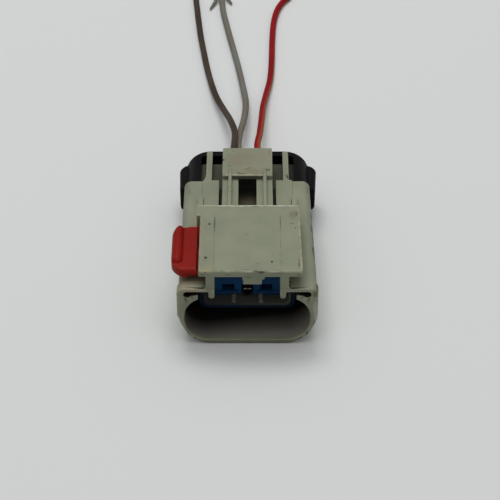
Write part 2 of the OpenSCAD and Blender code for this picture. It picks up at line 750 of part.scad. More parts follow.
// One receptacle terminal: box with its contact spring, floor strip, strand crimp and insulation grip.
module terminal(i) {
  x = i * terminal_pitch;
  z0 = terminal_z - box_h / 2;
  color("#b9b6ac") in_frame() {
    difference() {
      union() {
        block(x - box_w / 2, x + box_w / 2, box_y, box_end, z0, z0 + box_h);
        block(x - strip_w / 2, x + strip_w / 2, box_end - lap, grip_y1, z0, z0 + strip_t);
        rod(x, terminal_z, strand_r + crimp_wall, crimp_y0, crimp_y1);
        rod(x, terminal_z, wire_r + grip_wall, grip_y0, grip_y1);
      }
      block(x - box_w / 2 + sheet, x + box_w / 2 - sheet, box_y - past, box_end + past,
        z0 + sheet, z0 + box_h - sheet);
      rod(x, terminal_z, strand_r, crimp_y0 - past, crimp_y1 + past);
      rod(x, terminal_z, wire_r + seat, grip_y0 - past, grip_y1 + past);
    }
    block(x - spring_w / 2, x + spring_w / 2, box_y + spring_in, box_end - spring_in,
      z0 + box_h - 2.6 * sheet, z0 + box_h - 1.6 * sheet);
    for (y = [box_y + spring_in, box_end - spring_in - spring_foot])
      block(x - spring_w / 2, x + spring_w / 2, y, y + spring_foot,
        z0 + box_h - 1.8 * sheet, z0 + box_h - sheet / 2);
  }
}

module terminal_1() {
  terminal(-1);
}

module terminal_2() {
  terminal(0);
}

module terminal_3() {
  terminal(1);
}

// Bare strands from the brush in front of the crimp to the insulation.
module strands(i) {
  color("#b87445") in_frame() rod(i * terminal_pitch, terminal_z, strand_r, crimp_y0 - brush_len, wire_y0);
}

module strands_1() {
  strands(-1);
}

module strands_2() {
  strands(0);
}

module strands_3() {
  strands(1);
}

// A wire: rings square to its route, joined into one tube.
function unit(v) = v / norm(v);
function heading(run, k) = unit(run[min(k + 1, len(run) - 1)] - run[max(k - 1, 0)]);
function ring(p, t, r, n) =
  let (a = unit(cross(t, [0, 0, 1])), b = cross(a, t))
  [for (j = [0 : n - 1]) p + r * (a * cos(360 * j / n) + b * sin(360 * j / n))];
function corners(run, r, n) = [for (k = [0 : len(run) - 1]) each ring(run[k], heading(run, k), r, n)];
function skin(m, n) = [
  [for (j = [0 : n - 1]) j],
  [for (j = [0 : n - 1]) (m - 1) * n + n - 1 - j],
  for (k = [0 : m - 2], j = [0 : n - 1])
    each [[k * n + j, (k + 1) * n + j, k * n + (j + 1) % n],
      [(k + 1) * n + j, (k + 1) * n + (j + 1) % n, k * n + (j + 1) % n]]
];

module wire(i, free_run) {
  sides = 8;
  inner = [for (y = [wire_y0, (wire_y0 + cover_y1) / 2, cover_y1]) [i * terminal_pitch, y, terminal_z]];
  run = concat(inner, free_run);
  polyhedron(points = corners(run, wire_r, sides), faces = skin(len(run), sides));
}

module wire_brown() {
  color("#5d4a40") in_frame() wire(-1, BROWN_RUN);
}

module wire_grey() {
  color("#85867e") in_frame() wire(0, GREY_RUN);
}

module wire_red() {
  color("#a83742") in_frame() wire(1, RED_RUN);
}

housing();
lock_lever();
position_lock();
terminal_retainer();
ring_seal();
mat_seal();
rear_cover();
terminal_1();
terminal_2();
terminal_3();
strands_1();
strands_2();
strands_3();
wire_brown();
wire_grey();
wire_red();
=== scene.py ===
import math
import bmesh
import bpy
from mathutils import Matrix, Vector, kdtree


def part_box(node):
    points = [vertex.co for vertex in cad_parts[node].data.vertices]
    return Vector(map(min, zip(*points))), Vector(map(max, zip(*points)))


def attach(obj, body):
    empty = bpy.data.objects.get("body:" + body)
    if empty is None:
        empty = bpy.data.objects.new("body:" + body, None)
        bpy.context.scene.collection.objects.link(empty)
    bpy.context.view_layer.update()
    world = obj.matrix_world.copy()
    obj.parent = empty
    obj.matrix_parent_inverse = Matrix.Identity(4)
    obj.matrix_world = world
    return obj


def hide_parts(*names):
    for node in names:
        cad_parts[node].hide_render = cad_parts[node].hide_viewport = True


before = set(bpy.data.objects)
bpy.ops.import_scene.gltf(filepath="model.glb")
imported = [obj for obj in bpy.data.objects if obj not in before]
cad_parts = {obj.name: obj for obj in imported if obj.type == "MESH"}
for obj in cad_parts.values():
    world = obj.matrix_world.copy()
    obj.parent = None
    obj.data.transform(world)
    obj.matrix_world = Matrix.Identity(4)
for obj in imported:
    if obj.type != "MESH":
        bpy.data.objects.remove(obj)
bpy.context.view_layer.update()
MM = 0.001
X, Y, Z = 0, 1, 2
LOW, HIGH = 0, 1
scene = bpy.context.scene
scene.view_settings.view_transform = "Standard"


def reach(node, axis, side):
    """A CAD node's lowest or highest place along one axis, in millimetres."""
    return round(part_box(node)[side][axis] / MM, 3)


# The mating face on the part's own Y axis, in millimetres
SOCKET_FRONT = reach("housing", Y, LOW)

# Sizes and places are in millimetres: right of the middle, behind the mating face and above the floor
SOCKET_DEPTH = 16.0
SOCKET_TOP = 12.7
MOUTH_HALF = 11.65
MOUTH_FLOOR = 1.0
MOUTH_CORNER = 4.6
RIM_HALF = reach("housing", X, HIGH)
RIM_LENGTH = 2.2
RIM_CORNER = 5.9
RIM_LEAN_TOP = 7.0
HOLE_FRONT = 8.2
HOLE_FLOOR = 5.4
DECK_TOP = reach("housing", Z, HIGH)
DECK_UNDER = 16.3
DECK_LENGTH = 19.0
DECK_END = 19.15
KEY_MIDDLE = 0.95
SHOULDER = 32.0
RAIL_OUTSIDE = 8.175
PAD_FRONT = 29.8
PAD_TOP = 16.3
SLIDE_FRONT = reach("position_lock", Y, LOW) - SOCKET_FRONT
SLIDE_END = reach("position_lock", Y, HIGH) - SOCKET_FRONT
COVER_END = reach("rear_cover", Y, HIGH) - SOCKET_FRONT
EAR_FRONT = 34.8
EAR_END = 42.2
LEAD_RADIUS = 0.7
STRIPPED = 1.6
STRAND_RADIUS = 0.13
STRAND_RING = 0.27

# Routes of the leads, from the crimp through the mat seal and the cover to the cut end
ROUTES = {
    "brown": [(-3.6, 23.2, 6.3), (-3.6, 32.9, 6.3), (-3.6, 42.6, 6.3), (-3.6, 45, 6.35), (-3.2, 48.5, 6.85),
              (-2.8, 52, 7.05), (-2.75, 57.5, 6.25), (-3.75, 63.8, 4.7), (-5.2, 69.5, 3.3), (-6.8, 75.6, 2),
              (-8.1, 82, 1.1), (-9.3, 89, 0.75), (-10.3, 96, 0.75), (-11.2, 103, 0.75), (-11.8, 109, 0.75),
              (-12.3, 114.5, 0.75), (-12.7, 119, 0.75), (-13, 124, 0.75)],
    "grey": [(0, 23.2, 6.3), (0, 32.9, 6.3), (0, 42.6, 6.3), (0, 45, 6.3), (-1.1, 48.5, 6), (-1.95, 53, 5.6),
             (-1.65, 59, 4.7), (-1, 64.3, 3.8), (-0.5, 70.5, 2.6), (-0.5, 75.5, 1.8), (-1.2, 82.5, 1),
             (-2.2, 90, 0.75), (-3.25, 96.5, 0.75), (-4.25, 102.5, 0.75), (-5.2, 108.5, 0.75),
             (-6, 114, 0.75), (-6.4, 119, 0.75), (-6.5, 121, 0.75)],
    "red": [(3.6, 23.2, 6.3), (3.6, 32.9, 6.3), (3.6, 42.6, 6.3), (3.6, 45, 6.3), (2.75, 48.5, 6.1),
            (2.05, 53, 5.8), (2.6, 59, 4.8), (3, 65, 3.7), (3.4, 72, 2.4), (4.1, 78, 1.4), (5.1, 85, 0.85),
            (5.5, 91.5, 0.75), (5.7, 99, 0.75), (5.9, 104.5, 0.75), (6.2, 109, 0.75), (6.8, 113, 0.75),
            (7.7, 116.2, 0.75), (8.8, 118.5, 0.75), (11.1, 121.5, 0.75)],
}


def depth(y):
    """A place behind the mating face, as metres along the part's own Y axis."""
    return (y + SOCKET_FRONT) * MM


def in_frame(x, y, z):
    """A place in the part's own frame, in metres."""
    return x * MM, depth(y), z * MM


def ramp(value, start, end):
    """0 as far as start, 1 from end on, and a straight line between them."""
    return min(1.0, max(0.0, (value - start) / (end - start)))


# Camera at the photo's angle, 41 degrees down
DOWN = 41
lens = bpy.data.cameras.new("photo_angle")
lens.lens = 112.32
lens.sensor_width = 36
lens.clip_start = 0.01
camera = bpy.data.objects.new("photo_angle", lens)
camera.location = (0.0005, -0.2259, 0.2054)
camera.rotation_euler = (math.radians(90 - DOWN), 0, 0)
scene.collection.objects.link(camera)
scene.camera = camera


def linear(colour):
    """Linear red, green, blue and alpha of an sRGB hex colour."""
    parts = [int(colour[i:i + 2], 16) / 255 for i in (1, 3, 5)]
    return tuple(c / 12.92 if c <= 0.04045 else ((c + 0.055) / 1.055) ** 2.4 for c in parts) + (1.0,)


def add(tree, kind, feeds=None, out=0, **settings):
    """Adds a node with its settings, feeds its inputs with values or other outputs, and gives one output.
    A Map Range node takes its value on input 0, from 1 and 2 to 3 and 4. A Mix node of colours takes its
    share on input 0 and its colours on 6 and 7, and gives its result on output 2."""
    made = tree.nodes.new(kind)
    for name, value in settings.items():
        setattr(made, name, value)
    for key, value in (feeds or {}).items():
        if isinstance(key, int):
            socket = made.inputs[key]
        else:
            socket = [s for s in made.inputs if s.enabled and s.name == key][0]
        for one in value if isinstance(value, list) else [value]:
            if isinstance(one, bpy.types.NodeSocket):
                tree.links.new(one, socket)
            else:
                socket.default_value = one
    return made.outputs[out] if made.outputs else None


def per_metre(size):
    """Pattern scale on Object coordinates for a pattern of this size in millimetres."""
    return 1 / (size * MM)


def new_finish(name, **constants):
    """A material with one Principled shader, its constant sockets set directly."""
    finish = bpy.data.materials.new(name)
    finish.use_nodes = True
    tree = finish.node_tree
    skin = tree.nodes["Principled BSDF"]
    for socket, value in constants.items():
        skin.inputs[socket.replace("_", " ")].default_value = value
    return finish, tree, skin


# Sizes of the patterns on the mouldings. The real grain is about 0.05 mm, drawn coarser so that it shows
MOTTLE = 6.0
GRAIN = 0.35
RAGGED = 1.3


def moulded_polymer(name, body, shade, rubbed_and_highlight, grime_and_shade, roughness, gloss=0.12, rub_and_highlight=0.5, dirt_and_shade=0.5, stains_and_painted_light=None):
    """A moulded polymer: two tones of its own colour in soft patches, a fine moulded grain, paler outer
    edges, partly rubbed and partly a painted highlight, and grime in inner corners, which in the red lock's
    groove is painted shade. A further function lays the stains of a used piece, and any painted shade and
    painted light, over that."""
    finish, tree, skin = new_finish(name, IOR=1.53, Specular_IOR_Level=gloss)
    place = add(tree, "ShaderNodeTexCoord", out="Object")
    patches = add(tree, "ShaderNodeTexNoise", {"Vector": place, "Scale": per_metre(MOTTLE), "Detail": 4.0})
    fine = add(tree, "ShaderNodeTexNoise", {"Vector": place, "Scale": per_metre(GRAIN), "Detail": 2.0})
    ragged = add(tree, "ShaderNodeTexNoise", {"Vector": place, "Scale": per_metre(RAGGED), "Detail": 6.0})
    edge = add(tree, "ShaderNodeAttribute", out="Fac", attribute_name="outer_edge")
    corner = add(tree, "ShaderNodeAttribute", out="Fac", attribute_name="inner_corner")
    tone = add(tree, "ShaderNodeMapRange", {0: patches, 1: 0.35, 2: 0.65})
    colour = add(tree, "ShaderNodeMix", {0: tone, 6: linear(body), 7: linear(shade)}, 2, data_type="RGBA")
    bare = add(tree, "ShaderNodeMapRange", {0: ragged, 1: 0.42, 2: 0.62, 4: rub_and_highlight})
    worn_and_highlight = add(tree, "ShaderNodeMath", {0: edge, 1: bare}, operation="MULTIPLY")
    # Paler outer edges: partly rubbing, partly a painted highlight
    colour = add(tree, "ShaderNodeMix", {0: worn_and_highlight, 6: colour, 7: linear(rubbed_and_highlight)}, 2, data_type="RGBA")
    caught = add(tree, "ShaderNodeMapRange", {0: ragged, 1: 0.38, 2: 0.60, 4: dirt_and_shade})
    dirty_and_shaded = add(tree, "ShaderNodeMath", {0: corner, 1: caught}, operation="MULTIPLY")
    # Grime in inner corners; in the red lock's groove this is painted shade
    colour = add(tree, "ShaderNodeMix", {0: dirty_and_shaded, 6: colour, 7: linear(grime_and_shade)}, 2, data_type="RGBA")
    if stains_and_painted_light:
        colour = stains_and_painted_light(tree, place, colour)
    tree.links.new(colour, skin.inputs["Base Color"])
    dull = add(tree, "ShaderNodeMapRange",
               {0: fine, 1: 0.3, 2: 0.7, 3: roughness - 0.06, 4: roughness + 0.06})
    tree.links.new(dull, skin.inputs["Roughness"])
    relief = add(tree, "ShaderNodeBump", {"Strength": 0.25, "Distance": 0.02 * MM, "Height": fine})
    tree.links.new(relief, skin.inputs["Normal"])
    return finish


# Specks, strokes and smudges on the used grey mouldings, and patches of painted light, shade and reflection:
# place, half size each way, tone and strength
DARK, BROWN, OLIVE, SOOT = "#201e17", "#544a34", "#57522c", "#36382e"
DECK_MARKS = [
    ((-7.64, 3.98, DECK_TOP), (0.28, 0.34, 0.3), DARK, 0.9),
    ((-7.85, 3.2, DECK_TOP), (0.20, 0.22, 0.3), BROWN, 0.6),
    ((-7.2, 3.3, DECK_TOP), (0.14, 0.18, 0.3), BROWN, 0.5),
    ((-7.1, 2.6, DECK_TOP), (0.14, 0.16, 0.3), BROWN, 0.45),
    ((-8.2, 1.6, DECK_TOP), (0.16, 0.2, 0.3), BROWN, 0.4),
    ((-6.2, 1.2, DECK_TOP), (0.14, 0.16, 0.3), BROWN, 0.4),
    ((-7.4, 0.9, DECK_TOP), (1.6, 1.1, 0.6), "#94895f", 0.35),
    ((-8.5, 8, DECK_TOP), (0.7, 6.5, 0.5), "#94836c", 0.3),
    ((8.7, 16.3, DECK_TOP), (0.9, 1.2, 0.3), "#6b5a48", 0.4),
    # A pale band along the deck's rear edge: partly rubbed, partly a painted highlight
    ((0.5, 19.05, DECK_TOP), (9.8, 0.36, 0.3), "#bab7a2", 0.8),
    ((-6.80, 2.15, DECK_TOP), (0.16, 0.2, 0.3), BROWN, 0.35),
    ((-5.80, 0.62, DECK_TOP), (0.30, 0.12, 0.3), DARK, 0.7),
    ((-4.60, 0.45, DECK_TOP), (0.50, 0.10, 0.3), DARK, 0.55),
    ((-1.75, 0.5, DECK_TOP), (0.40, 0.10, 0.3), DARK, 0.5),
    ((-0.25, 0.72, DECK_TOP), (0.70, 0.09, 0.3), DARK, 0.45),
    ((1.55, 0.4, DECK_TOP), (0.55, 0.16, 0.4), DARK, 0.75),
    ((3.5, 0.45, DECK_TOP), (0.35, 0.10, 0.3), DARK, 0.55),
    ((5.30, 0.58, DECK_TOP), (0.85, 0.08, 0.3), DARK, 0.4),
    ((4.49, 2.92, DECK_TOP), (0.20, 0.26, 0.3), DARK, 0.95),
    ((1.83, 2.40, DECK_TOP), (0.42, 0.14, 0.3), BROWN, 0.5),
    ((9.40, 2.15, DECK_TOP), (0.18, 0.75, 0.4), BROWN, 0.8),
    ((9.50, 3.3, DECK_TOP), (0.14, 0.5, 0.4), BROWN, 0.6),
    ((-7.11, 13.55, DECK_TOP), (0.24, 0.3, 0.3), DARK, 0.85),
    ((8.32, 13.77, DECK_TOP), (0.45, 0.14, 0.3), BROWN, 0.6),
    ((8.99, 12.46, DECK_TOP), (0.18, 0.22, 0.3), DARK, 0.7),
    ((2.01, 14.20, DECK_TOP), (0.14, 0.18, 0.3), BROWN, 0.5),
    ((9.3, 16.6, DECK_TOP), (0.3, 0.8, 0.4), BROWN, 0.4),
    ((1.5, 18.72, DECK_TOP), (0.95, 0.14, 0.3), DARK, 0.6),
    ((-2.1, 18.9, DECK_TOP), (0.5, 0.1, 0.3), BROWN, 0.6),
    ((3.4, 18.8, DECK_TOP), (0.45, 0.12, 0.3), BROWN, 0.6),
    ((-0.4, 18.85, DECK_TOP), (0.35, 0.1, 0.3), BROWN, 0.55),
    ((-6.12, 13.4, DECK_TOP), (0.13, 2.7, 0.3), DARK, 0.55),
    ((6.2, 14.2, DECK_TOP), (0.12, 2.0, 0.3), BROWN, 0.5),
]
DECK_FRONT_MARKS = [
    ((2.45, 0.25, 17.5), (0.95, 0.17, 0.4), DARK, 0.75),
    ((2.6, 0.15, 17.3), (0.6, 0.2, 0.12), BROWN, 0.7),
    ((-7.6, 0.15, 17.35), (0.16, 0.3, 0.12), DARK, 0.7),
    ((0.15, 0.15, 16.27), (0.75, 0.3, 0.2), OLIVE, 0.75),
    ((-3.47, 0.15, 16.85), (0.7, 0.3, 0.18), OLIVE, 0.45),
    ((5.6, 0.15, 17.15), (1.6, 0.3, 0.16), BROWN, 0.3),
    ((-8.3, 0.15, 16.9), (0.5, 0.3, 0.3), OLIVE, 0.35),
    ((9.4, 0.15, 16.8), (0.4, 0.3, 0.4), OLIVE, 0.4),
]
PAD_MARKS = [
    ((-4.8, 34.8, PAD_TOP), (0.34, 0.4, 0.3), DARK, 0.95),
    ((-3.5, 32.95, PAD_TOP), (0.42, 0.15, 0.3), DARK, 0.65),
    ((-0.35, 31.9, PAD_TOP), (0.2, 0.18, 0.3), DARK, 0.85),
    ((0.1, 32.1, PAD_TOP), (0.2, 0.16, 0.3), DARK, 0.85),
    ((0.65, 32.35, PAD_TOP), (0.36, 0.13, 0.3), DARK, 0.65),
    ((-1.3, 30.4, PAD_TOP), (0.55, 0.18, 0.3), DARK, 0.85),
    ((-1.75, 30.75, PAD_TOP), (0.18, 0.2, 0.3), DARK, 0.9),
    ((-1.2, 35.2, PAD_TOP), (3.2, 2.4, 0.4), "#7f7468", 0.3),
    ((-0.6, 30.35, PAD_TOP), (0.6, 0.15, 0.3), BROWN, 0.75),
    ((4.05, 31.6, PAD_TOP), (0.6, 0.45, 0.3), BROWN, 0.85),
    ((3.1, 30.5, PAD_TOP), (0.5, 0.14, 0.3), BROWN, 0.6),
    # Painted highlight along the pad's front edge
    ((0, 30.02, PAD_TOP), (4.8, 0.13, 0.3), "#c0bca6", 0.6),
    ((4.3, 37.3, PAD_TOP), (0.16, 0.8, 0.3), BROWN, 0.5),
    ((-2.9, 37.7, PAD_TOP), (0.3, 0.25, 0.3), BROWN, 0.4),
    ((-0.9, 36.6, PAD_TOP), (0.12, 0.5, 0.3), BROWN, 0.35),
    ((0.0, 34.2, PAD_TOP), (5.2, 5.0, 0.5), "#786a56", 0.22),
    ((1.6, 30.1, PAD_TOP), (0.7, 0.12, 0.3), BROWN, 0.5),
    # Painted shade on the pad's front face
    ((0, 29.8, 15.7), (5.0, 0.3, 0.5), "#14130c", 0.5),
    ((0.6, 31.2, PAD_TOP), (4.4, 0.8, 0.3), "#6a6650", 0.3),
]
SHROUD_MARKS = [
    ((12.9, 1.1, 12.9), (0.6, 1.0, 0.7), OLIVE, 0.8),
    ((12.6, 0.0, 12.4), (0.6, 0.3, 1.0), OLIVE, 0.65),
    ((12.45, 18.0, 12.3), (0.6, 1.3, 0.7), SOOT, 0.75),
    ((12.6, 11.4, 12.3), (0.7, 1.9, 0.8), "#3a3026", 0.75),
    ((12.8, 7.4, 12.0), (0.5, 1.1, 0.4), SOOT, 0.65),
    ((12.45, 22.3, 12.1), (0.5, 1.5, 0.55), SOOT, 0.7),
    ((12.3, 27.5, 12.8), (0.4, 0.8, 0.6), SOOT, 0.6),
    ((-12.4, 30.5, 13.0), (0.8, 1.2, 0.6), OLIVE, 0.45),
    ((-11.5, 28.5, 13.25), (0.5, 0.9, 0.4), OLIVE, 0.3),
    ((12.1, 29.5, 13.0), (0.6, 1.4, 0.6), OLIVE, 0.35),
    ((-3.8, 0, 0.6), (0.8, 0.3, 0.35), OLIVE, 0.5),
    # Painted light on the roof's front face under the slide
    ((-10.2, 0, 13.2), (2.6, 0.4, 0.5), "#a89c88", 0.6),
    # Painted highlight on the rim's right side
    ((12.6, 0, 8.0), (0.5, 0.4, 2.6), "#aeae9e", 0.6),
    ((0.15, 0, 0.5), (1.0, 0.3, 0.3), OLIVE, 0.45),
    ((4.5, 0, 0.6), (0.8, 0.3, 0.35), OLIVE, 0.45),
    # Painted reflection of the red slide on the roof beside it
    ((-11, 3.0, 13.3), (2.8, 3.2, 1.0), "#8a6a55", 0.4),
    # Painted light on the body's top under the deck's left edge, tinted as a reflection of the red slide
    ((-9.45, 19.0, 13.4), (0.6, 2.4, 0.6), "#a58470", 0.9),
]
CHANNEL_PAINTED_LIGHT_AND_SHADE = [
    # Painted light on the channel's floor, where it shows lit through the lever's window
    ((0.2, 27.6, 11.4), (2.2, 1.9, 0.9), "#5a5540", 0.6),
    # Painted shade in the recess between the right rail and the cover
    ((8.75, 37.0, 11.3), (0.5, 5.0, 0.6), "#17150f", 0.7),
]
SOCKET_PAINTED_SHADE_AND_LIGHT = [
    # Painted shade on the tray and on the core's face behind the retainer's middle slot
    ((0.1, 9.2, 4.85), (1.2, 1.6, 0.9), "#070606", 0.97),
    ((0.1, 10.3, 6.0), (1.2, 0.3, 1.4), "#070606", 0.9),
    # Painted light on the tray's two guide ribs
    ((-2.55, 7.3, 5.1), (0.55, 2.4, 0.25), "#a09c90", 0.9),
    ((2.55, 7.3, 5.1), (0.55, 2.4, 0.25), "#a09c90", 0.9),
]
MARKS = DECK_MARKS + DECK_FRONT_MARKS + PAD_MARKS + SHROUD_MARKS + CHANNEL_PAINTED_LIGHT_AND_SHADE + SOCKET_PAINTED_SHADE_AND_LIGHT


def stray_specks(tree, place, colour):
    """Stray specks of dirt about 0.2 mm across, one in a few of the 2.6 mm cells."""
    cells = add(tree, "ShaderNodeTexVoronoi", {"Vector": place, "Scale": per_metre(2.6)}, "Distance")
    pick = add(tree, "ShaderNodeSeparateColor", {0: cells.node.outputs["Color"]})
    chosen = add(tree, "ShaderNodeMath", {0: pick, 1: 0.71}, operation="GREATER_THAN")
    core = add(tree, "ShaderNodeMapRange", {0: cells, 1: 0.035, 2: 0.075, 3: 0.8, 4: 0.0})
    speck = add(tree, "ShaderNodeMath", {0: chosen, 1: core}, operation="MULTIPLY")
    return add(tree, "ShaderNodeMix", {0: speck, 6: colour, 7: linear(BROWN)}, 2, data_type="RGBA")


def flank_scuffs(tree, place, right, back, up, colour):
    """Scuffs of about 2.2 mm along the right flank behind the rim, where it was handled most, mainly at its
    upper edge."""
    scuff = add(tree, "ShaderNodeTexNoise",
                {"Vector": place, "Scale": per_metre(2.2), "Detail": 5.0, "Roughness": 0.7})
    edgeward = add(tree, "ShaderNodeMapRange", {0: up, 1: 11.0 * MM, 2: 12.0 * MM, 3: 0.3, 4: 0.85})
    flank = add(tree, "ShaderNodeMapRange", {0: scuff, 1: 0.52, 2: 0.64, 4: edgeward})
    outside = add(tree, "ShaderNodeMapRange", {0: right, 1: 12.2 * MM, 2: 12.6 * MM})
    behind = add(tree, "ShaderNodeMapRange", {0: back, 1: depth(1), 2: depth(3)})
    for limit in (outside, behind):
        flank = add(tree, "ShaderNodeMath", {0: flank, 1: limit}, operation="MULTIPLY")
    return add(tree, "ShaderNodeMix", {0: flank, 6: colour, 7: linear("#3a382f")}, 2, data_type="RGBA")


def witness_lines(tree, ragged, across, back, up, colour):
    """Two patchy mould witness lines along the deck over its legs, 0.14 mm wide."""
    line = add(tree, "ShaderNodeMath", {0: across, 1: 6.15 * MM, 2: 0.07 * MM}, operation="COMPARE")
    on_deck = add(tree, "ShaderNodeMapRange", {0: up, 1: (DECK_TOP - 0.1) * MM, 2: (DECK_TOP - 0.05) * MM})
    ahead = add(tree, "ShaderNodeMath", {0: back, 1: depth(15.8)}, operation="LESS_THAN")
    witness = add(tree, "ShaderNodeMapRange", {0: ragged, 1: 0.30, 2: 0.60, 3: 0.05, 4: 0.4})
    for limit in (line, on_deck, ahead):
        witness = add(tree, "ShaderNodeMath", {0: witness, 1: limit}, operation="MULTIPLY")
    return add(tree, "ShaderNodeMix", {0: witness, 6: colour, 7: linear("#4e4d40")}, 2, data_type="RGBA")


def channel_painted_shade(tree, across, back, up, colour):
    """Painted shade in the channel under the lever and on the tower's top, between the rails and the cover.
    """
    shade_strength = add(tree, "ShaderNodeMapRange",
                  {0: back, 1: depth(SHOULDER - 0.1), 2: depth(SHOULDER + 0.1), 3: 0.9, 4: 0.78})
    recess_shade = add(tree, "ShaderNodeMapRange", {0: up, 1: 11.4 * MM, 2: 12.8 * MM, 3: shade_strength, 4: 0.0})
    inner = add(tree, "ShaderNodeMath", {0: across, 1: 9.7 * MM}, operation="LESS_THAN")
    rear = add(tree, "ShaderNodeMath", {0: back, 1: depth(DECK_END + 0.05)}, operation="GREATER_THAN")
    for limit in (inner, rear):
        recess_shade = add(tree, "ShaderNodeMath", {0: recess_shade, 1: limit}, operation="MULTIPLY")
    return add(tree, "ShaderNodeMix", {0: recess_shade, 6: colour, 7: linear("#17150f")}, 2, data_type="RGBA")


def thumbed_pad(tree, place, back, up, colour):
    """Warm patches about 2.4 mm wide on the thumb pad, from handling."""
    patches = add(tree, "ShaderNodeTexNoise", {"Vector": place, "Scale": per_metre(2.4), "Detail": 4.0})
    warm = add(tree, "ShaderNodeMapRange", {0: patches, 1: 0.45, 2: 0.62, 4: 0.2})
    past = add(tree, "ShaderNodeMath", {0: back, 1: depth(PAD_FRONT - 0.1)}, operation="GREATER_THAN")
    raised = add(tree, "ShaderNodeMath", {0: up, 1: (PAD_TOP - 0.4) * MM}, operation="GREATER_THAN")
    for limit in (past, raised):
        warm = add(tree, "ShaderNodeMath", {0: warm, 1: limit}, operation="MULTIPLY")
    return add(tree, "ShaderNodeMix", {0: warm, 6: colour, 7: linear("#857a68")}, 2, data_type="RGBA")


def bottom_smear_and_shade(tree, up, colour):
    """A dark smear on the lowest millimetre and a half, partly dirt from the bench and partly painted shade
    where the part meets the floor.
    """
    smeared = add(tree, "ShaderNodeMapRange", {0: up, 1: 0.3 * MM, 2: 1.7 * MM, 3: 0.5, 4: 0.0})
    return add(tree, "ShaderNodeMix", {0: smeared, 6: colour, 7: linear("#3a372b")}, 2, data_type="RGBA")


def inside_socket(tree, across, back, up):
    """1 on the socket's inner walls and round lower corners, as far as its end wall, and 0 elsewhere."""
    corner_side = (MOUTH_HALF - MOUTH_CORNER) * MM
    corner_up = (MOUTH_FLOOR + MOUTH_CORNER) * MM
    corner_radius = (MOUTH_CORNER + 0.12) * MM
    off_side = add(tree, "ShaderNodeMath", {0: across, 1: corner_side}, operation="SUBTRACT")
    off_floor = add(tree, "ShaderNodeMath", {0: corner_up, 1: up}, operation="SUBTRACT")
    off_both = add(tree, "ShaderNodeCombineXYZ", {0: off_side, 1: off_floor})
    off_corner = add(tree, "ShaderNodeVectorMath", {0: off_both, 1: (0, 0, 0)}, operation="MAXIMUM")
    from_corner = add(tree, "ShaderNodeVectorMath", {0: off_corner}, "Value", operation="LENGTH")
    inside = add(tree, "ShaderNodeMath", {0: from_corner, 1: corner_radius}, operation="LESS_THAN")
    low = add(tree, "ShaderNodeMath", {0: up, 1: (SOCKET_TOP + 0.02) * MM}, operation="LESS_THAN")
    ahead = add(tree, "ShaderNodeMath", {0: back, 1: depth(SOCKET_DEPTH + 0.05)}, operation="LESS_THAN")
    for limit in (low, ahead):
        inside = add(tree, "ShaderNodeMath", {0: inside, 1: limit}, operation="MULTIPLY")
    return inside


def socket_painted_shade(tree, right, across, back, up, colour):
    """A darker neutral tone on the socket's walls, partly dust and partly painted shade, and a dark film of
    painted shade over it: more of it with depth and to the left, all over the upper corner slots, and thinner
    on the core and its tray."""
    inside = inside_socket(tree, across, back, up)
    leftward = add(tree, "ShaderNodeMath", {0: right, 1: -0.13, 2: back}, operation="MULTIPLY_ADD")
    deep = add(tree, "ShaderNodeMapRange", {0: leftward, 1: depth(0.7), 2: depth(6.1), 4: 0.96})
    at_slots = add(tree, "ShaderNodeMapRange", {0: back, 1: depth(0.05), 2: depth(0.4), 4: 0.95})
    above_web = add(tree, "ShaderNodeMath", {0: up, 1: 11.2 * MM}, operation="GREATER_THAN")
    in_slots = add(tree, "ShaderNodeMath", {0: at_slots, 1: above_web}, operation="MULTIPLY")
    shade_film = add(tree, "ShaderNodeMath", {0: deep, 1: in_slots}, operation="MAXIMUM")
    aside = add(tree, "ShaderNodeMath", {0: across, 1: 8.3 * MM}, operation="GREATER_THAN")
    on_core = add(tree, "ShaderNodeMath", {0: up, 1: 6.5 * MM, 2: 2.15 * MM}, operation="COMPARE")
    off_core = add(tree, "ShaderNodeMath", {0: 1.0, 1: on_core}, operation="SUBTRACT")
    wall = add(tree, "ShaderNodeMath", {0: aside, 1: off_core}, operation="MAXIMUM")
    core_front = add(tree, "ShaderNodeMath", {0: back, 1: depth(5.65)}, operation="LESS_THAN")
    on_lip = add(tree, "ShaderNodeMapRange", {0: core_front, 3: 0.42, 4: 0.85})
    thick = add(tree, "ShaderNodeMapRange", {0: wall, 3: on_lip, 4: 1.0})
    for limit in (inside, thick):
        shade_film = add(tree, "ShaderNodeMath", {0: shade_film, 1: limit}, operation="MULTIPLY")
    dust_and_shade = add(tree, "ShaderNodeMapRange", {0: back, 1: depth(0), 2: depth(0.8), 4: 0.8})
    dust_and_shade = add(tree, "ShaderNodeMath", {0: dust_and_shade, 1: inside}, operation="MULTIPLY")
    colour = add(tree, "ShaderNodeMix", {0: dust_and_shade, 6: colour, 7: linear("#7c7872")}, 2, data_type="RGBA")
    # Painted shade over the socket's inner surfaces
    return add(tree, "ShaderNodeMix", {0: shade_film, 6: colour, 7: linear("#0c0b0b")}, 2, data_type="RGBA")


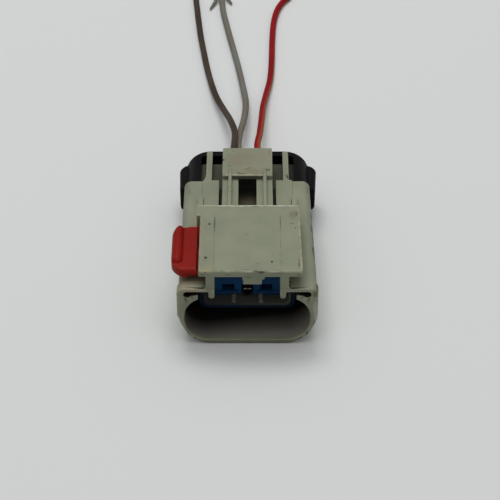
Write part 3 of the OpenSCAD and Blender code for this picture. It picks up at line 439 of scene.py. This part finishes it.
def placed_marks(tree, place, ragged, colour):
    """The marks that are placed one by one, stains and patches of painted light and shade, each a soft lump
    with a ragged border.
    """
    for spot, half_sizes, tone, strength in MARKS:
        off = add(tree, "ShaderNodeVectorMath", {0: place, 1: in_frame(*spot)}, operation="SUBTRACT")
        sized = tuple(per_metre(half) for half in half_sizes)
        stretched = add(tree, "ShaderNodeVectorMath", {0: off, 1: sized}, operation="MULTIPLY")
        distance = add(tree, "ShaderNodeVectorMath", {0: stretched}, "Value", operation="LENGTH")
        border = add(tree, "ShaderNodeMath", {0: ragged, 1: -1.4, 2: distance}, operation="MULTIPLY_ADD")
        mark_share = add(tree, "ShaderNodeMapRange", {0: border, 1: -0.2, 2: 0.5, 3: strength, 4: 0.0})
        colour = add(tree, "ShaderNodeMix", {0: mark_share, 6: colour, 7: linear(tone)}, 2, data_type="RGBA")
    return colour


def used_grey_dirt_and_painted_light(tree, place, colour):
    """All stains, painted shade and painted light of the used grey mouldings, each laid over the ones before.
    """
    ragged = add(tree, "ShaderNodeTexNoise", {"Vector": place, "Scale": per_metre(RAGGED), "Detail": 6.0})
    right = add(tree, "ShaderNodeSeparateXYZ", {0: place})
    back, up = right.node.outputs[Y], right.node.outputs[Z]
    across = add(tree, "ShaderNodeMath", {0: right}, operation="ABSOLUTE")
    colour = stray_specks(tree, place, colour)
    colour = flank_scuffs(tree, place, right, back, up, colour)
    colour = witness_lines(tree, ragged, across, back, up, colour)
    colour = channel_painted_shade(tree, across, back, up, colour)
    colour = thumbed_pad(tree, place, back, up, colour)
    colour = bottom_smear_and_shade(tree, up, colour)
    colour = socket_painted_shade(tree, right, across, back, up, colour)
    return placed_marks(tree, place, ragged, colour)


def deck_shade_on_retainer(tree, place, colour):
    """Painted shade on the retainer's top, where the deck overhangs it."""
    up = add(tree, "ShaderNodeSeparateXYZ", {0: place}, Z)
    shaded_top = add(tree, "ShaderNodeMapRange", {0: up, 1: 7.4 * MM, 2: 9.3 * MM, 4: 0.5})
    return add(tree, "ShaderNodeMix", {0: shaded_top, 6: colour, 7: linear("#09264a")}, 2, data_type="RGBA")


def insulation(name, body, shade, tracer=None):
    """Extruded PVC insulation: satin, with slow changes of tone along the lead, and a tracer stripe where it
    has one, which winds slowly round the lead."""
    finish, tree, skin = new_finish(name, IOR=1.53, Roughness=0.5, Specular_IOR_Level=0.08)
    place = add(tree, "ShaderNodeTexCoord", out="Object")
    patches = add(tree, "ShaderNodeTexNoise", {"Vector": place, "Scale": per_metre(9.0), "Detail": 3.0})
    tone = add(tree, "ShaderNodeMapRange", {0: patches, 1: 0.35, 2: 0.65})
    colour = add(tree, "ShaderNodeMix", {0: tone, 6: linear(body), 7: linear(shade)}, 2, data_type="RGBA")
    if tracer:
        # The stripe's turns in a metre, the turn at which it starts, its half width in turns and its strength
        turns, start, half_width, strength = -3.3, -0.23, 0.10, 0.85
        around = add(tree, "ShaderNodeAttribute", out="Fac", attribute_name="around")
        back = add(tree, "ShaderNodeSeparateXYZ", {0: place}, Y)
        wound = add(tree, "ShaderNodeMath", {0: back, 1: turns, 2: around}, operation="MULTIPLY_ADD")
        begun = add(tree, "ShaderNodeMath", {0: wound, 1: start}, operation="ADD")
        turned = add(tree, "ShaderNodeMath", {0: begun}, operation="FRACT")
        stripe = add(tree, "ShaderNodeMath", {0: turned, 1: 0.5, 2: half_width}, operation="COMPARE")
        faint = add(tree, "ShaderNodeMath", {0: stripe, 1: strength}, operation="MULTIPLY")
        colour = add(tree, "ShaderNodeMix", {0: faint, 6: colour, 7: linear(tracer)}, 2, data_type="RGBA")
    tree.links.new(colour, skin.inputs["Base Color"])
    scuff = add(tree, "ShaderNodeTexNoise", {"Vector": place, "Scale": per_metre(0.5), "Detail": 2.0})
    relief = add(tree, "ShaderNodeBump", {"Strength": 0.15, "Distance": 0.02 * MM, "Height": scuff})
    tree.links.new(relief, skin.inputs["Normal"])
    return finish


def bare_metal(name, bright, dull, roughness):
    """A drawn or rolled metal: dull patches of tarnish over a bright ground."""
    finish, tree, skin = new_finish(name, Metallic=1.0)
    place = add(tree, "ShaderNodeTexCoord", out="Object")
    patches = add(tree, "ShaderNodeTexNoise", {"Vector": place, "Scale": per_metre(1.5), "Detail": 4.0})
    colour = add(tree, "ShaderNodeMix", {0: patches, 6: linear(bright), 7: linear(dull)}, 2, data_type="RGBA")
    tree.links.new(colour, skin.inputs["Base Color"])
    sheen = add(tree, "ShaderNodeMapRange",
                {0: patches, 1: 0.3, 2: 0.7, 3: roughness - 0.08, 4: roughness + 0.1})
    tree.links.new(sheen, skin.inputs["Roughness"])
    return finish


# Glass-filled nylon, moulded: greenish stone grey, dull, yellowed and dirty along the edges, its paler edges
# partly rubbed and partly a painted highlight, with dark specks, and with painted shade and painted light in
# its socket, channel and recesses
GREY_NYLON = moulded_polymer("grey_glass_filled_nylon", "#858974", "#7c816e", "#a09a85", "#3d382b", 0.55,
                             rub_and_highlight=0.7, dirt_and_shade=0.75, stains_and_painted_light=used_grey_dirt_and_painted_light)
# The same nylon in black: satin, and rubbed only a little paler at its edges
BLACK_NYLON = moulded_polymer("black_glass_filled_nylon", "#161617", "#121213", "#262626", "#0b0b0b", 0.45,
                              gloss=0.03, rub_and_highlight=0.35)
# PBT, moulded: satin and deep in colour, the red paler at its edges, partly rubbed and partly a painted
# highlight, with painted shade in its groove, and the blue with painted shade at its top under the deck
RED_PBT = moulded_polymer("red_pbt", "#83170f", "#7b140e", "#a33b31", "#240606", 0.45,
                          gloss=0.08, rub_and_highlight=0.7, dirt_and_shade=1.0)
BLUE_PBT = moulded_polymer("blue_pbt", "#124672", "#103f68", "#295d8a", "#0a2640", 0.45,
                           rub_and_highlight=0.3, stains_and_painted_light=deck_shade_on_retainer)
# Silicone rubber, moulded: soft and dull, with hardly any wear
BLUE_SILICONE = moulded_polymer("blue_silicone_rubber", "#0c2436", "#0a1e2e", "#17384f", "#07141f", 0.55,
                                rub_and_highlight=0.2)
DARK_SILICONE = moulded_polymer("dark_silicone_rubber", "#3a3c42", "#33353a", "#4a4c52", "#1c1d20", 0.6,
                                rub_and_highlight=0.2)
# PVC, extruded: satin, with slow changes of tone along the lead, and a dull tracer stripe on the red
BROWN_PVC = insulation("brown_pvc_insulation", "#4a4037", "#3a2f27")
GREY_PVC = insulation("grey_pvc_insulation", "#6e7067", "#6c645a")
RED_PVC = insulation("red_pvc_insulation", "#8c0f16", "#7a0d16", tracer="#8c4424")
# Brass, rolled and tinned, and copper, drawn to wire: bright, with dull patches of tarnish
TINNED_BRASS = bare_metal("tinned_brass", "#c9c6bd", "#9d9a90", 0.38)
COPPER = bare_metal("bare_copper_strands", "#c07a4e", "#8f5a3a", 0.40)


def placed(name, data):
    """A new object in the scene, at the origin."""
    piece = bpy.data.objects.new(name, data)
    scene.collection.objects.link(piece)
    return piece


def smooth_mesh(name, shape, finish):
    """The mesh of a finished bmesh, smooth and in one finish."""
    mesh = bpy.data.meshes.new(name)
    shape.to_mesh(mesh)
    shape.free()
    mesh.materials.append(finish)
    mesh.polygons.foreach_set("use_smooth", [True] * len(mesh.polygons))
    return mesh


def made_mesh(piece):
    """The mesh that a piece's modifiers or curve settings make."""
    return bpy.data.meshes.new_from_object(piece.evaluated_get(bpy.context.evaluated_depsgraph_get()))


def bake(piece):
    """Replaces a piece's modifiers by the mesh that they make."""
    made = made_mesh(piece)
    piece.modifiers.clear()
    piece.data = made


def smooth_route(points, step):
    """Points about a step apart on a smooth line through a route, in metres in the part's frame."""
    knots = [Vector(in_frame(*point)) for point in points]
    line = []
    for k in range(len(knots) - 1):
        a, b = knots[k], knots[k + 1]
        before, after = knots[max(k - 1, 0)], knots[min(k + 2, len(knots) - 1)]
        span = (b - a).length
        lead_in = (b - before) / (span + (a - before).length) * span
        lead_out = (after - a) / ((after - b).length + span) * span
        count = max(2, round(span / (step * MM)))
        for i in range(count):
            t = i / count
            line.append((2 * t ** 3 - 3 * t ** 2 + 1) * a + (t ** 3 - 2 * t ** 2 + t) * lead_in
                        + (3 * t ** 2 - 2 * t ** 3) * b + (t ** 3 - t ** 2) * lead_out)
    return line + [knots[-1]]


def lead_tree():
    """Geometry Nodes for a cut lead: insulation swept along the route, and bare strands at its cut end."""
    tree = bpy.data.node_groups.new("cut_lead", "GeometryNodeTree")
    face = tree.interface
    face.new_socket("Route", in_out="INPUT", socket_type="NodeSocketGeometry")
    sizes = {"Lead radius": LEAD_RADIUS, "Stripped length": STRIPPED, "Strand radius": STRAND_RADIUS,
             "Strand ring": STRAND_RING}
    for name, size in sizes.items():
        socket = face.new_socket(name, in_out="INPUT", socket_type="NodeSocketFloat")
        socket.default_value = size * MM
    face.new_socket("Insulation", in_out="INPUT", socket_type="NodeSocketMaterial")
    face.new_socket("Conductor", in_out="INPUT", socket_type="NodeSocketMaterial")
    face.new_socket("Lead", in_out="OUTPUT", socket_type="NodeSocketGeometry")
    given = add(tree, "NodeGroupInput").node.outputs
    route = add(tree, "GeometryNodeMeshToCurve", {"Mesh": given["Route"]})
    upright = add(tree, "GeometryNodeSetCurveNormal", {"Curve": route}, mode="Z_UP")
    whole = add(tree, "GeometryNodeCurveLength", {"Curve": upright})
    cut = add(tree, "ShaderNodeMath", {0: whole, 1: given["Stripped length"]}, operation="SUBTRACT")
    sleeve = add(tree, "GeometryNodeTrimCurve", {"Curve": upright, "End": cut}, mode="LENGTH")
    ring = add(tree, "GeometryNodeCurvePrimitiveCircle", {"Resolution": 16, "Radius": given["Lead radius"]})
    turn = add(tree, "GeometryNodeSplineParameter")
    marked = add(tree, "GeometryNodeStoreNamedAttribute", {"Geometry": ring, "Name": "around", "Value": turn},
                 data_type="FLOAT", domain="POINT")
    tube = add(tree, "GeometryNodeCurveToMesh", {"Curve": sleeve, "Profile Curve": marked, "Fill Caps": True})
    smooth = add(tree, "GeometryNodeSetShadeSmooth", {"Geometry": tube, "Shade Smooth": True})
    dressed = add(tree, "GeometryNodeSetMaterial", {"Geometry": smooth, "Material": given["Insulation"]})
    # Seven strands, one in the middle and six round it, spread a little by the cut and half inside the lead
    outer = add(tree, "GeometryNodeMeshCircle", {"Vertices": 6, "Radius": given["Strand ring"]})
    middle = add(tree, "GeometryNodeMeshLine", {"Count": 1})
    seats = add(tree, "GeometryNodeJoinGeometry", {0: [outer, middle]})
    length = add(tree, "ShaderNodeMath", {0: given["Stripped length"], 1: 2.0}, operation="MULTIPLY")
    strand = add(tree, "GeometryNodeMeshCylinder",
                 {"Vertices": 8, "Radius": given["Strand radius"], "Depth": length})
    lean = add(tree, "FunctionNodeRandomValue", {0: (-0.10, -0.10, 0.0), 1: (0.10, 0.10, 0.0), "Seed": 7},
               data_type="FLOAT_VECTOR")
    brush = add(tree, "GeometryNodeInstanceOnPoints", {"Points": seats, "Instance": strand, "Rotation": lean})
    tip = add(tree, "GeometryNodeCurveEndpointSelection", {"Start Size": 0, "End Size": 1})
    along = add(tree, "GeometryNodeInputTangent")
    aimed = add(tree, "FunctionNodeAlignRotationToVector", {"Vector": along}, axis="Z")
    ends = add(tree, "GeometryNodeInstanceOnPoints",
               {"Points": sleeve, "Selection": tip, "Instance": brush, "Rotation": aimed})
    real = add(tree, "GeometryNodeRealizeInstances", {"Geometry": ends})
    bright = add(tree, "GeometryNodeSetMaterial", {"Geometry": real, "Material": given["Conductor"]})
    both = add(tree, "GeometryNodeJoinGeometry", {0: [dressed, bright]})
    done = add(tree, "GeometryNodeRealizeInstances", {"Geometry": both})
    add(tree, "NodeGroupOutput", {0: done})
    return tree


LEAD_TREE = lead_tree()
INPUTS = {item.name: item.identifier for item in LEAD_TREE.interface.items_tree}


def make_lead(colour, finish, loose_bits=()):
    """One lead, from its crimp to its cut end, lying where the CAD lead lies."""
    route = smooth_route(ROUTES[colour], step=0.8)
    spine = bpy.data.meshes.new("route_" + colour)
    spine.from_pydata(route, [(k, k + 1) for k in range(len(route) - 1)], [])
    lead = placed("lead_" + colour, spine)
    maker = lead.modifiers.new("cut_lead", "NODES")
    maker.node_group = LEAD_TREE
    maker[INPUTS["Insulation"]] = finish
    maker[INPUTS["Conductor"]] = COPPER
    bake(lead)
    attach(lead, "shell")
    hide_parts("wire_" + colour)


# The grey lead's insulation is split at its cut end and peeled back in two tails
TAILS = [
    [(-6.55, 120.6, 1.15), (-6.95, 120.9, 1.3), (-7.35, 120.3, 1.15), (-8.1, 118.0, 0.75),
     (-8.75, 116.4, 0.5), (-9.15, 115.3, 0.4)],
    [(-6.4, 120.6, 1.15), (-5.9, 120.9, 1.3), (-5.4, 120.3, 1.15), (-4.6, 118.8, 0.75), (-3.95, 117.6, 0.45)],
]
TAIL_WIDTH = 0.85
TAIL_CROWN = 0.7
# A tail's outline in shares of its width and crown: arched on top and nearly flat below
TAIL_SECTION = [(-0.5, 0.0), (-0.25, 0.24), (0.0, 0.32), (0.25, 0.24), (0.5, 0.0),
                (0.25, -0.1), (-0.25, -0.1)]
TAIL_TAPER = 0.45


def peeled_tails():
    """Two thin strips of insulation that narrow towards their tips."""
    shape = bmesh.new()
    for points in TAILS:
        rows = []
        line = smooth_route(points, step=0.3)
        for k, spot in enumerate(line):
            along = (line[min(k + 1, len(line) - 1)] - line[max(k - 1, 0)]).normalized()
            side = along.cross(Vector((0, 0, 1))).normalized()
            lift = side.cross(along)
            width = TAIL_WIDTH * (1 - TAIL_TAPER * (k / (len(line) - 1)) ** 3)
            corners = [spot + side * across * width * MM + lift * high * TAIL_CROWN * MM
                       for across, high in TAIL_SECTION]
            rows.append([shape.verts.new(corner) for corner in corners])
        for a, b in zip(rows, rows[1:]):
            for i in range(len(a)):
                j = (i + 1) % len(a)
                shape.faces.new((a[i], a[j], b[j], b[i]))
        shape.faces.new(rows[0][::-1])
        shape.faces.new(rows[-1])
    bmesh.ops.recalc_face_normals(shape, faces=shape.faces)
    tails = placed("peeled_insulation_grey", smooth_mesh("peeled_insulation_grey", shape, GREY_PVC))
    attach(tails, "shell")
    return tails


make_lead("brown", BROWN_PVC)
make_lead("grey", GREY_PVC, [peeled_tails()])
make_lead("red", RED_PVC)


def merged_copy(name):
    """A CAD node's mesh with its loose triangles joined, as an open bmesh."""
    shape = bmesh.new()
    shape.from_mesh(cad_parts[name].data)
    bmesh.ops.remove_doubles(shape, verts=shape.verts, dist=0.002 * MM)
    return shape


def stand_for(piece, name, body):
    """Puts a finished piece in the place of a CAD node."""
    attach(piece, body)
    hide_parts(name)


# Edges that turn by more than this are rounded, by at most the largest radius
SHARP = math.radians(24)
LARGEST_RADIUS = 0.8
# Rubbed and highlighted edges and grimy corners follow points about this far apart along the edges
EDGE_STEP = 0.4


def weigh_edges(shape, radius_of):
    """Gives each sharp edge its share of the largest radius, and lists points along the outer edges, under
    True, and along the inner corners, under False."""
    weight = shape.edges.layers.float.new("bevel_weight_edge")
    spots = {True: [], False: []}
    for edge in shape.edges:
        if len(edge.link_faces) == 2 and edge.calc_face_angle(0) > SHARP:
            a, b = edge.verts[0].co / MM, edge.verts[1].co / MM
            middle = (a + b) / 2
            middle.y -= SOCKET_FRONT
            edge[weight] = radius_of(middle, (b - a).normalized(), edge.is_convex) / LARGEST_RADIUS
            count = max(1, round((b - a).length / EDGE_STEP))
            spots[edge.is_convex] += [a.lerp(b, k / count) for k in range(count + 1)]
    return spots


def round_edges(piece):
    """Rounds the weighted edges of a piece. The rounded faces take its second material slot."""
    rounding = piece.modifiers.new("rounding", "BEVEL")
    rounding.limit_method = "WEIGHT"
    rounding.width = LARGEST_RADIUS * MM
    rounding.segments = 3
    rounding.use_clamp_overlap = False
    rounding.material = 1
    rounding.face_strength_mode = "FSTR_ALL"
    flat = piece.modifiers.new("flat_faces", "WEIGHTED_NORMAL")
    flat.mode = "FACE_AREA_WITH_ANGLE"
    flat.use_face_influence = True
    bake(piece)


def mark_edge_tones(mesh, spots, grimy):
    """Marks the rounded faces as outer edges, which are painted paler, partly as rubbing and partly as a
    highlight, or as inner corners, which catch grime if the moulding is grimy and they lie behind the mating
    face and outside the socket. The second slot goes."""
    finders = {}
    for outer in spots:
        finders[outer] = kdtree.KDTree(max(len(spots[outer]), 1))
        for k, spot in enumerate(spots[outer]):
            finders[outer].insert(spot, k)
        finders[outer].balance()
    marks = {True: mesh.attributes.new("outer_edge", "FLOAT", "CORNER"),
             False: mesh.attributes.new("inner_corner", "FLOAT", "CORNER")}
    for face in mesh.polygons:
        if face.material_index == 1:
            away = {}
            for outer, finder in finders.items():
                away[outer] = finder.find(face.center / MM)[2] if spots[outer] else math.inf
            outer = away[True] <= away[False]
            in_socket = face.center.y < depth(SOCKET_DEPTH) and face.center.z < SOCKET_TOP * MM
            caught = grimy and not in_socket and face.center.y > depth(0.3)
            for corner in face.loop_indices:
                marks[outer].data[corner].value = 1.0 if outer or caught else 0.0
        face.material_index = 0
    mesh.materials.pop(index=1)


def softened(name, body, finish, radius_of, drafted=None, grimy=True, cuts=()):
    """A moulding with the rounded edges and filleted corners that a mould leaves. radius_of gives each sharp
    edge its radius in millimetres from its middle, its direction and whether it is an outer edge. drafted
    moves its points, after cuts across it have given it more of them. A moulding that isn't grimy has clean
    inner corners."""
    shape = merged_copy(name)
    for y in cuts:
        bmesh.ops.bisect_plane(shape, geom=shape.verts[:] + shape.edges[:] + shape.faces[:],
                               plane_co=in_frame(0, y, 0), plane_no=(0, 1, 0))
    spots = weigh_edges(shape, radius_of)
    if drafted:
        for point in shape.verts:
            x, y, z = point.co / MM
            point.co += Vector(drafted(x, y - SOCKET_FRONT, z)) * MM
    mesh = smooth_mesh(name + "_moulded", shape, finish)
    mesh.materials.append(finish)
    piece = placed(name + "_moulded", mesh)
    round_edges(piece)
    mark_edge_tones(piece.data, spots, grimy)
    stand_for(piece, name, body)


# The position lock: its groove beside the deck's edge, and the rounding of its front edge
GROOVE_AT = -9.1
GROOVE_HALF = 0.3
GROOVE_DEEP = 0.5
SLIDE_ROUND = 0.8


def shape_slide(point, corner):
    """Moves one point of the position lock to the moulding's shape, and marks it as an inner corner if it is
    in the groove, where the red's dark grime tone paints shade.
    """
    x, y, z = point.co.x / MM, point.co.y / MM - SOCKET_FRONT, point.co.z / MM
    if point.normal.z > 0.6 and z > 15.6:
        sunk = max(0.0, 1 - abs((x - GROOVE_AT) / GROOVE_HALF))
        point.co.z -= GROOVE_DEEP * MM * sunk
        # The groove's mark paints shade into it with the red's dark grime tone
        point[corner] = min(1.0, 2 * sunk)
    # The raised end's front edge is round
    off_front = min(SLIDE_ROUND, max(0.1, y - SLIDE_FRONT))
    fall = SLIDE_ROUND - math.sqrt(SLIDE_ROUND ** 2 - (SLIDE_ROUND - off_front) ** 2)
    point.co.z -= fall * MM * ramp(z, 14.9, 15.9) * ramp(x, -9.3, -9.6)
    # The raised end is thicker below
    point.co.z -= 0.45 * MM * ramp(x, -10.6, -11.1) * ramp(z, 15.4, 14.9)
    # Its outer corners are rounder than the solid's, the rear one more than the front one
    point.co.x += 0.4 * MM * ramp(x, -12, -13.5) * ramp(y, 6, SLIDE_FRONT) ** 2
    point.co.x += 1.0 * MM * ramp(x, -11.9, -13.9) * ramp(y, 11.6, SLIDE_END) ** 2
    point.co.y -= 0.22 * MM * ramp(x, -10.8, -11.4) * ramp(y, 13.6, 14.5)


def remoulded_slide():
    """The position lock, every edge melted round, with the groove where its raised end meets the deck."""
    slide = placed("position_lock_moulded",
                   smooth_mesh("position_lock_moulded", merged_copy("position_lock"), RED_PBT))
    skin = slide.modifiers.new("skin", "REMESH")
    skin.mode = "VOXEL"
    skin.voxel_size = 0.13 * MM
    melt = slide.modifiers.new("melt", "SMOOTH")
    melt.factor = 0.5
    melt.iterations = 7
    bake(slide)
    shape = bmesh.new()
    shape.from_mesh(slide.data)
    edge = shape.verts.layers.float.new("outer_edge")
    corner = shape.verts.layers.float.new("inner_corner")
    for point in shape.verts:
        shape_slide(point, corner)
    # A point counts as an outer edge where its neighbours fall away from it
    for point in shape.verts:
        ways = [(link.other_vert(point).co - point.co).normalized() for link in point.link_edges]
        bend = sum(way.dot(point.normal) for way in ways) / max(len(ways), 1)
        point[edge] = min(1.0, max(0.0, -4 * bend))
    shape.to_mesh(slide.data)
    shape.free()
    slide.data.polygons.foreach_set("use_smooth", [True] * len(slide.data.polygons))
    stand_for(slide, "position_lock", "slide")


# The left rail's outer side flares towards its root, by this much at these places behind the mating face
RAIL_FLARE = {SHOULDER: 0.45, 33.0: 0.15, 34.2: 0.03}


def housing_draft(x, y, z):
    """The shroud's flanks lean in to the rear, the left rail flares, the deck's right edge widens forward,
    the key's shoulders slope, and the rim leans forward at its bottom and is set in at its lower left."""
    shift, forward, rise = 0.0, 0.0, 0.0
    if y > RIM_LENGTH - 0.1:
        along = ramp(y, 2.4, SHOULDER)
        lean = ramp(abs(x), 10.5, 12.0) * (0.6 * along - 0.12 if x > 0 else 0.22 * along + 0.07)
        shift = -lean if x > 0 else lean
    if abs(x + RAIL_OUTSIDE) < 0.06 and z > 11.2 and y > SHOULDER - 0.1:
        shift -= RAIL_FLARE.get(round(y, 1), 0.0)
    if z > DECK_UNDER - 0.1 and x > 9.0 and y < DECK_END + 0.15:
        shift += 0.05 + 0.27 * (DECK_END - y) / DECK_LENGTH
    if y < 1.5 and 15.4 < z < 16.4 and 2.1 < abs(x - KEY_MIDDLE) < 2.4:
        shift += 0.36 if x < 0 else 0.0
        rise = 0.3 if x > 0 and z < 15.6 else 0.0
    corner_x = RIM_CORNER - RIM_HALF
    if y < RIM_LENGTH and x < corner_x and z < 6.2 and math.hypot(x - corner_x, z - RIM_CORNER) > 5.3:
        shift += 0.3 * (corner_x - x) / RIM_CORNER
    if y < RIM_LENGTH and z < RIM_LEAN_TOP:
        forward = -0.35 * (RIM_LEAN_TOP - z) / RIM_LEAN_TOP
    return shift, forward, rise


def housing_radius(middle, along, outer):
    """Radii of the housing: soft deck and rim, small elsewhere, none on the round feet of the deck's legs."""
    x, y, z = abs(middle.x), middle.y, middle.z
    if not outer:
        under_deck = 7.5 < x < 8.0 and 12.9 < z < 16.6 and y < 20
        return 0.4 if under_deck else 0.08
    if z > DECK_UNDER - 0.1:
        if abs(along.z) > 0.9:
            return 0.55 if x > 8 else 0.1
        if z > DECK_TOP - 0.1:
            return 0.35 if y < 0.3 else 0.2 if y > 19 else 0.3
        return 0.15
    if y < 0.05:
        if 5.9 < x < 7.2 and 11.0 < z < 11.65:
            return 0.0
        inside = x < 11.8 and 0.9 < z < 12.8
        return 0.15 if inside else 0.22 + 0.2 * ramp(z, 2, 8)
    if y > SHOULDER - 0.1 and z > 10:
        return 0.25
    return 0.11


def lever_radius(middle, along, outer):
    """Radii of the lever: its thumb pad is rounder than its arms, and roundest at its rear corners."""
    if not outer:
        return 0.08
    on_pad = middle.y > PAD_FRONT - 0.1 and middle.z > 15
    if on_pad and abs(middle.x) > 4.5:
        return (0.6 if middle.y > 35 else 0.3) if abs(along.z) > 0.9 else 0.25
    return 0.25 if on_pad and abs(along.x) > 0.9 and abs(middle.x) < 3 else 0.11


def retainer_draft(x, y, z):
    """The lower edge of the framed holes slopes up from the front lip."""
    return 0.0, 0.0, 0.5 if abs(y - HOLE_FRONT) < 0.06 and abs(z - HOLE_FLOOR) < 0.06 else 0.0


def cover_draft(x, y, z):
    """The cover's ears narrow to the front and slope at the rear end, where the right one stands out."""
    outward = ramp(abs(x), 12.6, 13.2)
    ear_end = -0.9 * ramp(abs(x), 12.4, 13.7) if abs(y - EAR_END) < 0.2 else 0.0
    along = (y - EAR_FRONT) / (EAR_END - EAR_FRONT)
    lean = 0.22 * (1 - along) - (0.18 * along if x > 0 else 0.0)
    return -math.copysign(outward, x) * lean, ear_end, 0.0


def cover_radius(middle, along, outer):
    """Radii of the cover: soft ears and rear edge, small elsewhere."""
    if not outer:
        return 0.1
    if abs(middle.x) > 12.5:
        return 0.4
    at_rear = middle.y > COVER_END - 0.1
    return 0.3 if at_rear and (abs(middle.x) > 6 or middle.z > 12 or middle.z < 1) else 0.15


def plain_radius(size):
    """The same radius for every edge of a piece."""
    return lambda middle, along, outer: size


softened("housing", "shell", GREY_NYLON, housing_radius, housing_draft,
         cuts=list(RAIL_FLARE)[1:])
softened("lock_lever", "lever", GREY_NYLON, lever_radius, grimy=False)
remoulded_slide()
softened("terminal_retainer", "retainer", BLUE_PBT, plain_radius(0.1), retainer_draft,
         grimy=False)
softened("ring_seal", "shell", BLUE_SILICONE, plain_radius(0.15))
softened("rear_cover", "shell", BLACK_NYLON, cover_radius, cover_draft)

# The middle terminal's two contact springs: their middles across, and the lines of a curled end and a tongue
SPRINGS = (-0.40, 0.46)
SPRING_RADIUS = 0.22
CURL = [(-0.3, 8.65, 5.62), (-0.18, 8.55, 5.84), (0, 8.5, 5.92), (0.18, 8.55, 5.84), (0.3, 8.65, 5.62)]
TONGUE = [(0, 8.55, 5.88), (0, 9.2, 5.65), (0, 10.2, 5.42), (0, 11.0, 5.42)]


def contact_lips():
    """The curled ends of the middle terminal's two contact springs, bright in the retainer's open slot."""
    bent = bpy.data.curves.new("spring_line", "CURVE")
    bent.dimensions = "3D"
    bent.bevel_depth = SPRING_RADIUS * MM
    bent.bevel_resolution = 2
    bent.use_fill_caps = True
    for across in SPRINGS:
        for points in (CURL, TONGUE):
            spline = bent.splines.new("POLY")
            spline.points.add(len(points) - 1)
            for point, (x, y, z) in zip(spline.points, points):
                point.co = in_frame(across + x, y, z) + (1.0,)
    line = placed("spring_line", bent)
    mesh = made_mesh(line)
    bpy.data.objects.remove(line)
    mesh.materials.clear()
    mesh.materials.append(TINNED_BRASS)
    mesh.polygons.foreach_set("use_smooth", [True] * len(mesh.polygons))
    lips = placed("contact_lips", mesh)
    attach(lips, "shell")


def refinish(node, finish):
    """Gives a CAD node whose shape stays its real finish."""
    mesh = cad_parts[node].data
    mesh.materials.clear()
    mesh.materials.append(finish)


contact_lips()
for way in (1, 2, 3):
    refinish("terminal_%d" % way, TINNED_BRASS)
    refinish("strands_%d" % way, COPPER)
refinish("mat_seal", DARK_SILICONE)


def pale_card():
    """Matt card: pale, slightly cool, with a faint cloudy tone about 90 mm wide."""
    finish, tree, skin = new_finish("matt_pale_card", Roughness=0.9, IOR=1.45, Specular_IOR_Level=0.2)
    place = add(tree, "ShaderNodeTexCoord", out="Object")
    cloud = add(tree, "ShaderNodeTexNoise", {"Vector": place, "Scale": per_metre(90), "Detail": 2.0})
    colour = add(tree, "ShaderNodeMix", {0: cloud, 6: linear("#d1d3d2"), 7: linear("#d3d5d4")}, 2,
                 data_type="RGBA")
    tree.links.new(colour, skin.inputs["Base Color"])
    return finish


# The floor is a card 4 m wide, a hair below the part
CARD_HALF = 2
CARD_DROP = 0.05 * MM
card = bpy.data.meshes.new("floor")
corners = [(x * CARD_HALF, y * CARD_HALF, -CARD_DROP) for x, y in ((-1, -1), (1, -1), (1, 1), (-1, 1))]
card.from_pydata(corners, [], [(0, 1, 2, 3)])
card.materials.append(pale_card())
placed("floor", card)


def soft_lamp(name, at, aim, wide, deep, power):
    """A white softbox, with its place and size in metres and its power in watts."""
    lamp = bpy.data.lights.new(name, "AREA")
    lamp.shape = "RECTANGLE"
    lamp.size = wide
    lamp.size_y = deep
    lamp.energy = power
    holder = bpy.data.objects.new(name, lamp)
    holder.location = at
    holder.rotation_euler = (Vector(aim) - Vector(at)).to_track_quat("-Z", "Y").to_euler()
    scene.collection.objects.link(holder)


soft_lamp("light_tent", (0, 0.05, 0.8), (0, 0.05, 0), 2.4, 2.4, 6.5)
soft_lamp("top_softbox", (0, 0.02, 1.0), (0, 0.02, 0), 0.6, 0.6, 2.5)
soft_lamp("rear_softbox", (-0.1, 0.36, 0.91), (0, 0, 0), 0.5, 0.25, 2.8)
soft_lamp("front_fill", (-0.3, -0.45, 0.85), (0, 0, 0), 0.3, 0.3, 0.25)
world = bpy.data.worlds.new("studio")
scene.world = world
world.use_nodes = True
world.node_tree.nodes["Background"].inputs["Color"].default_value = linear("#ffffff")
world.node_tree.nodes["Background"].inputs["Strength"].default_value = 0.195
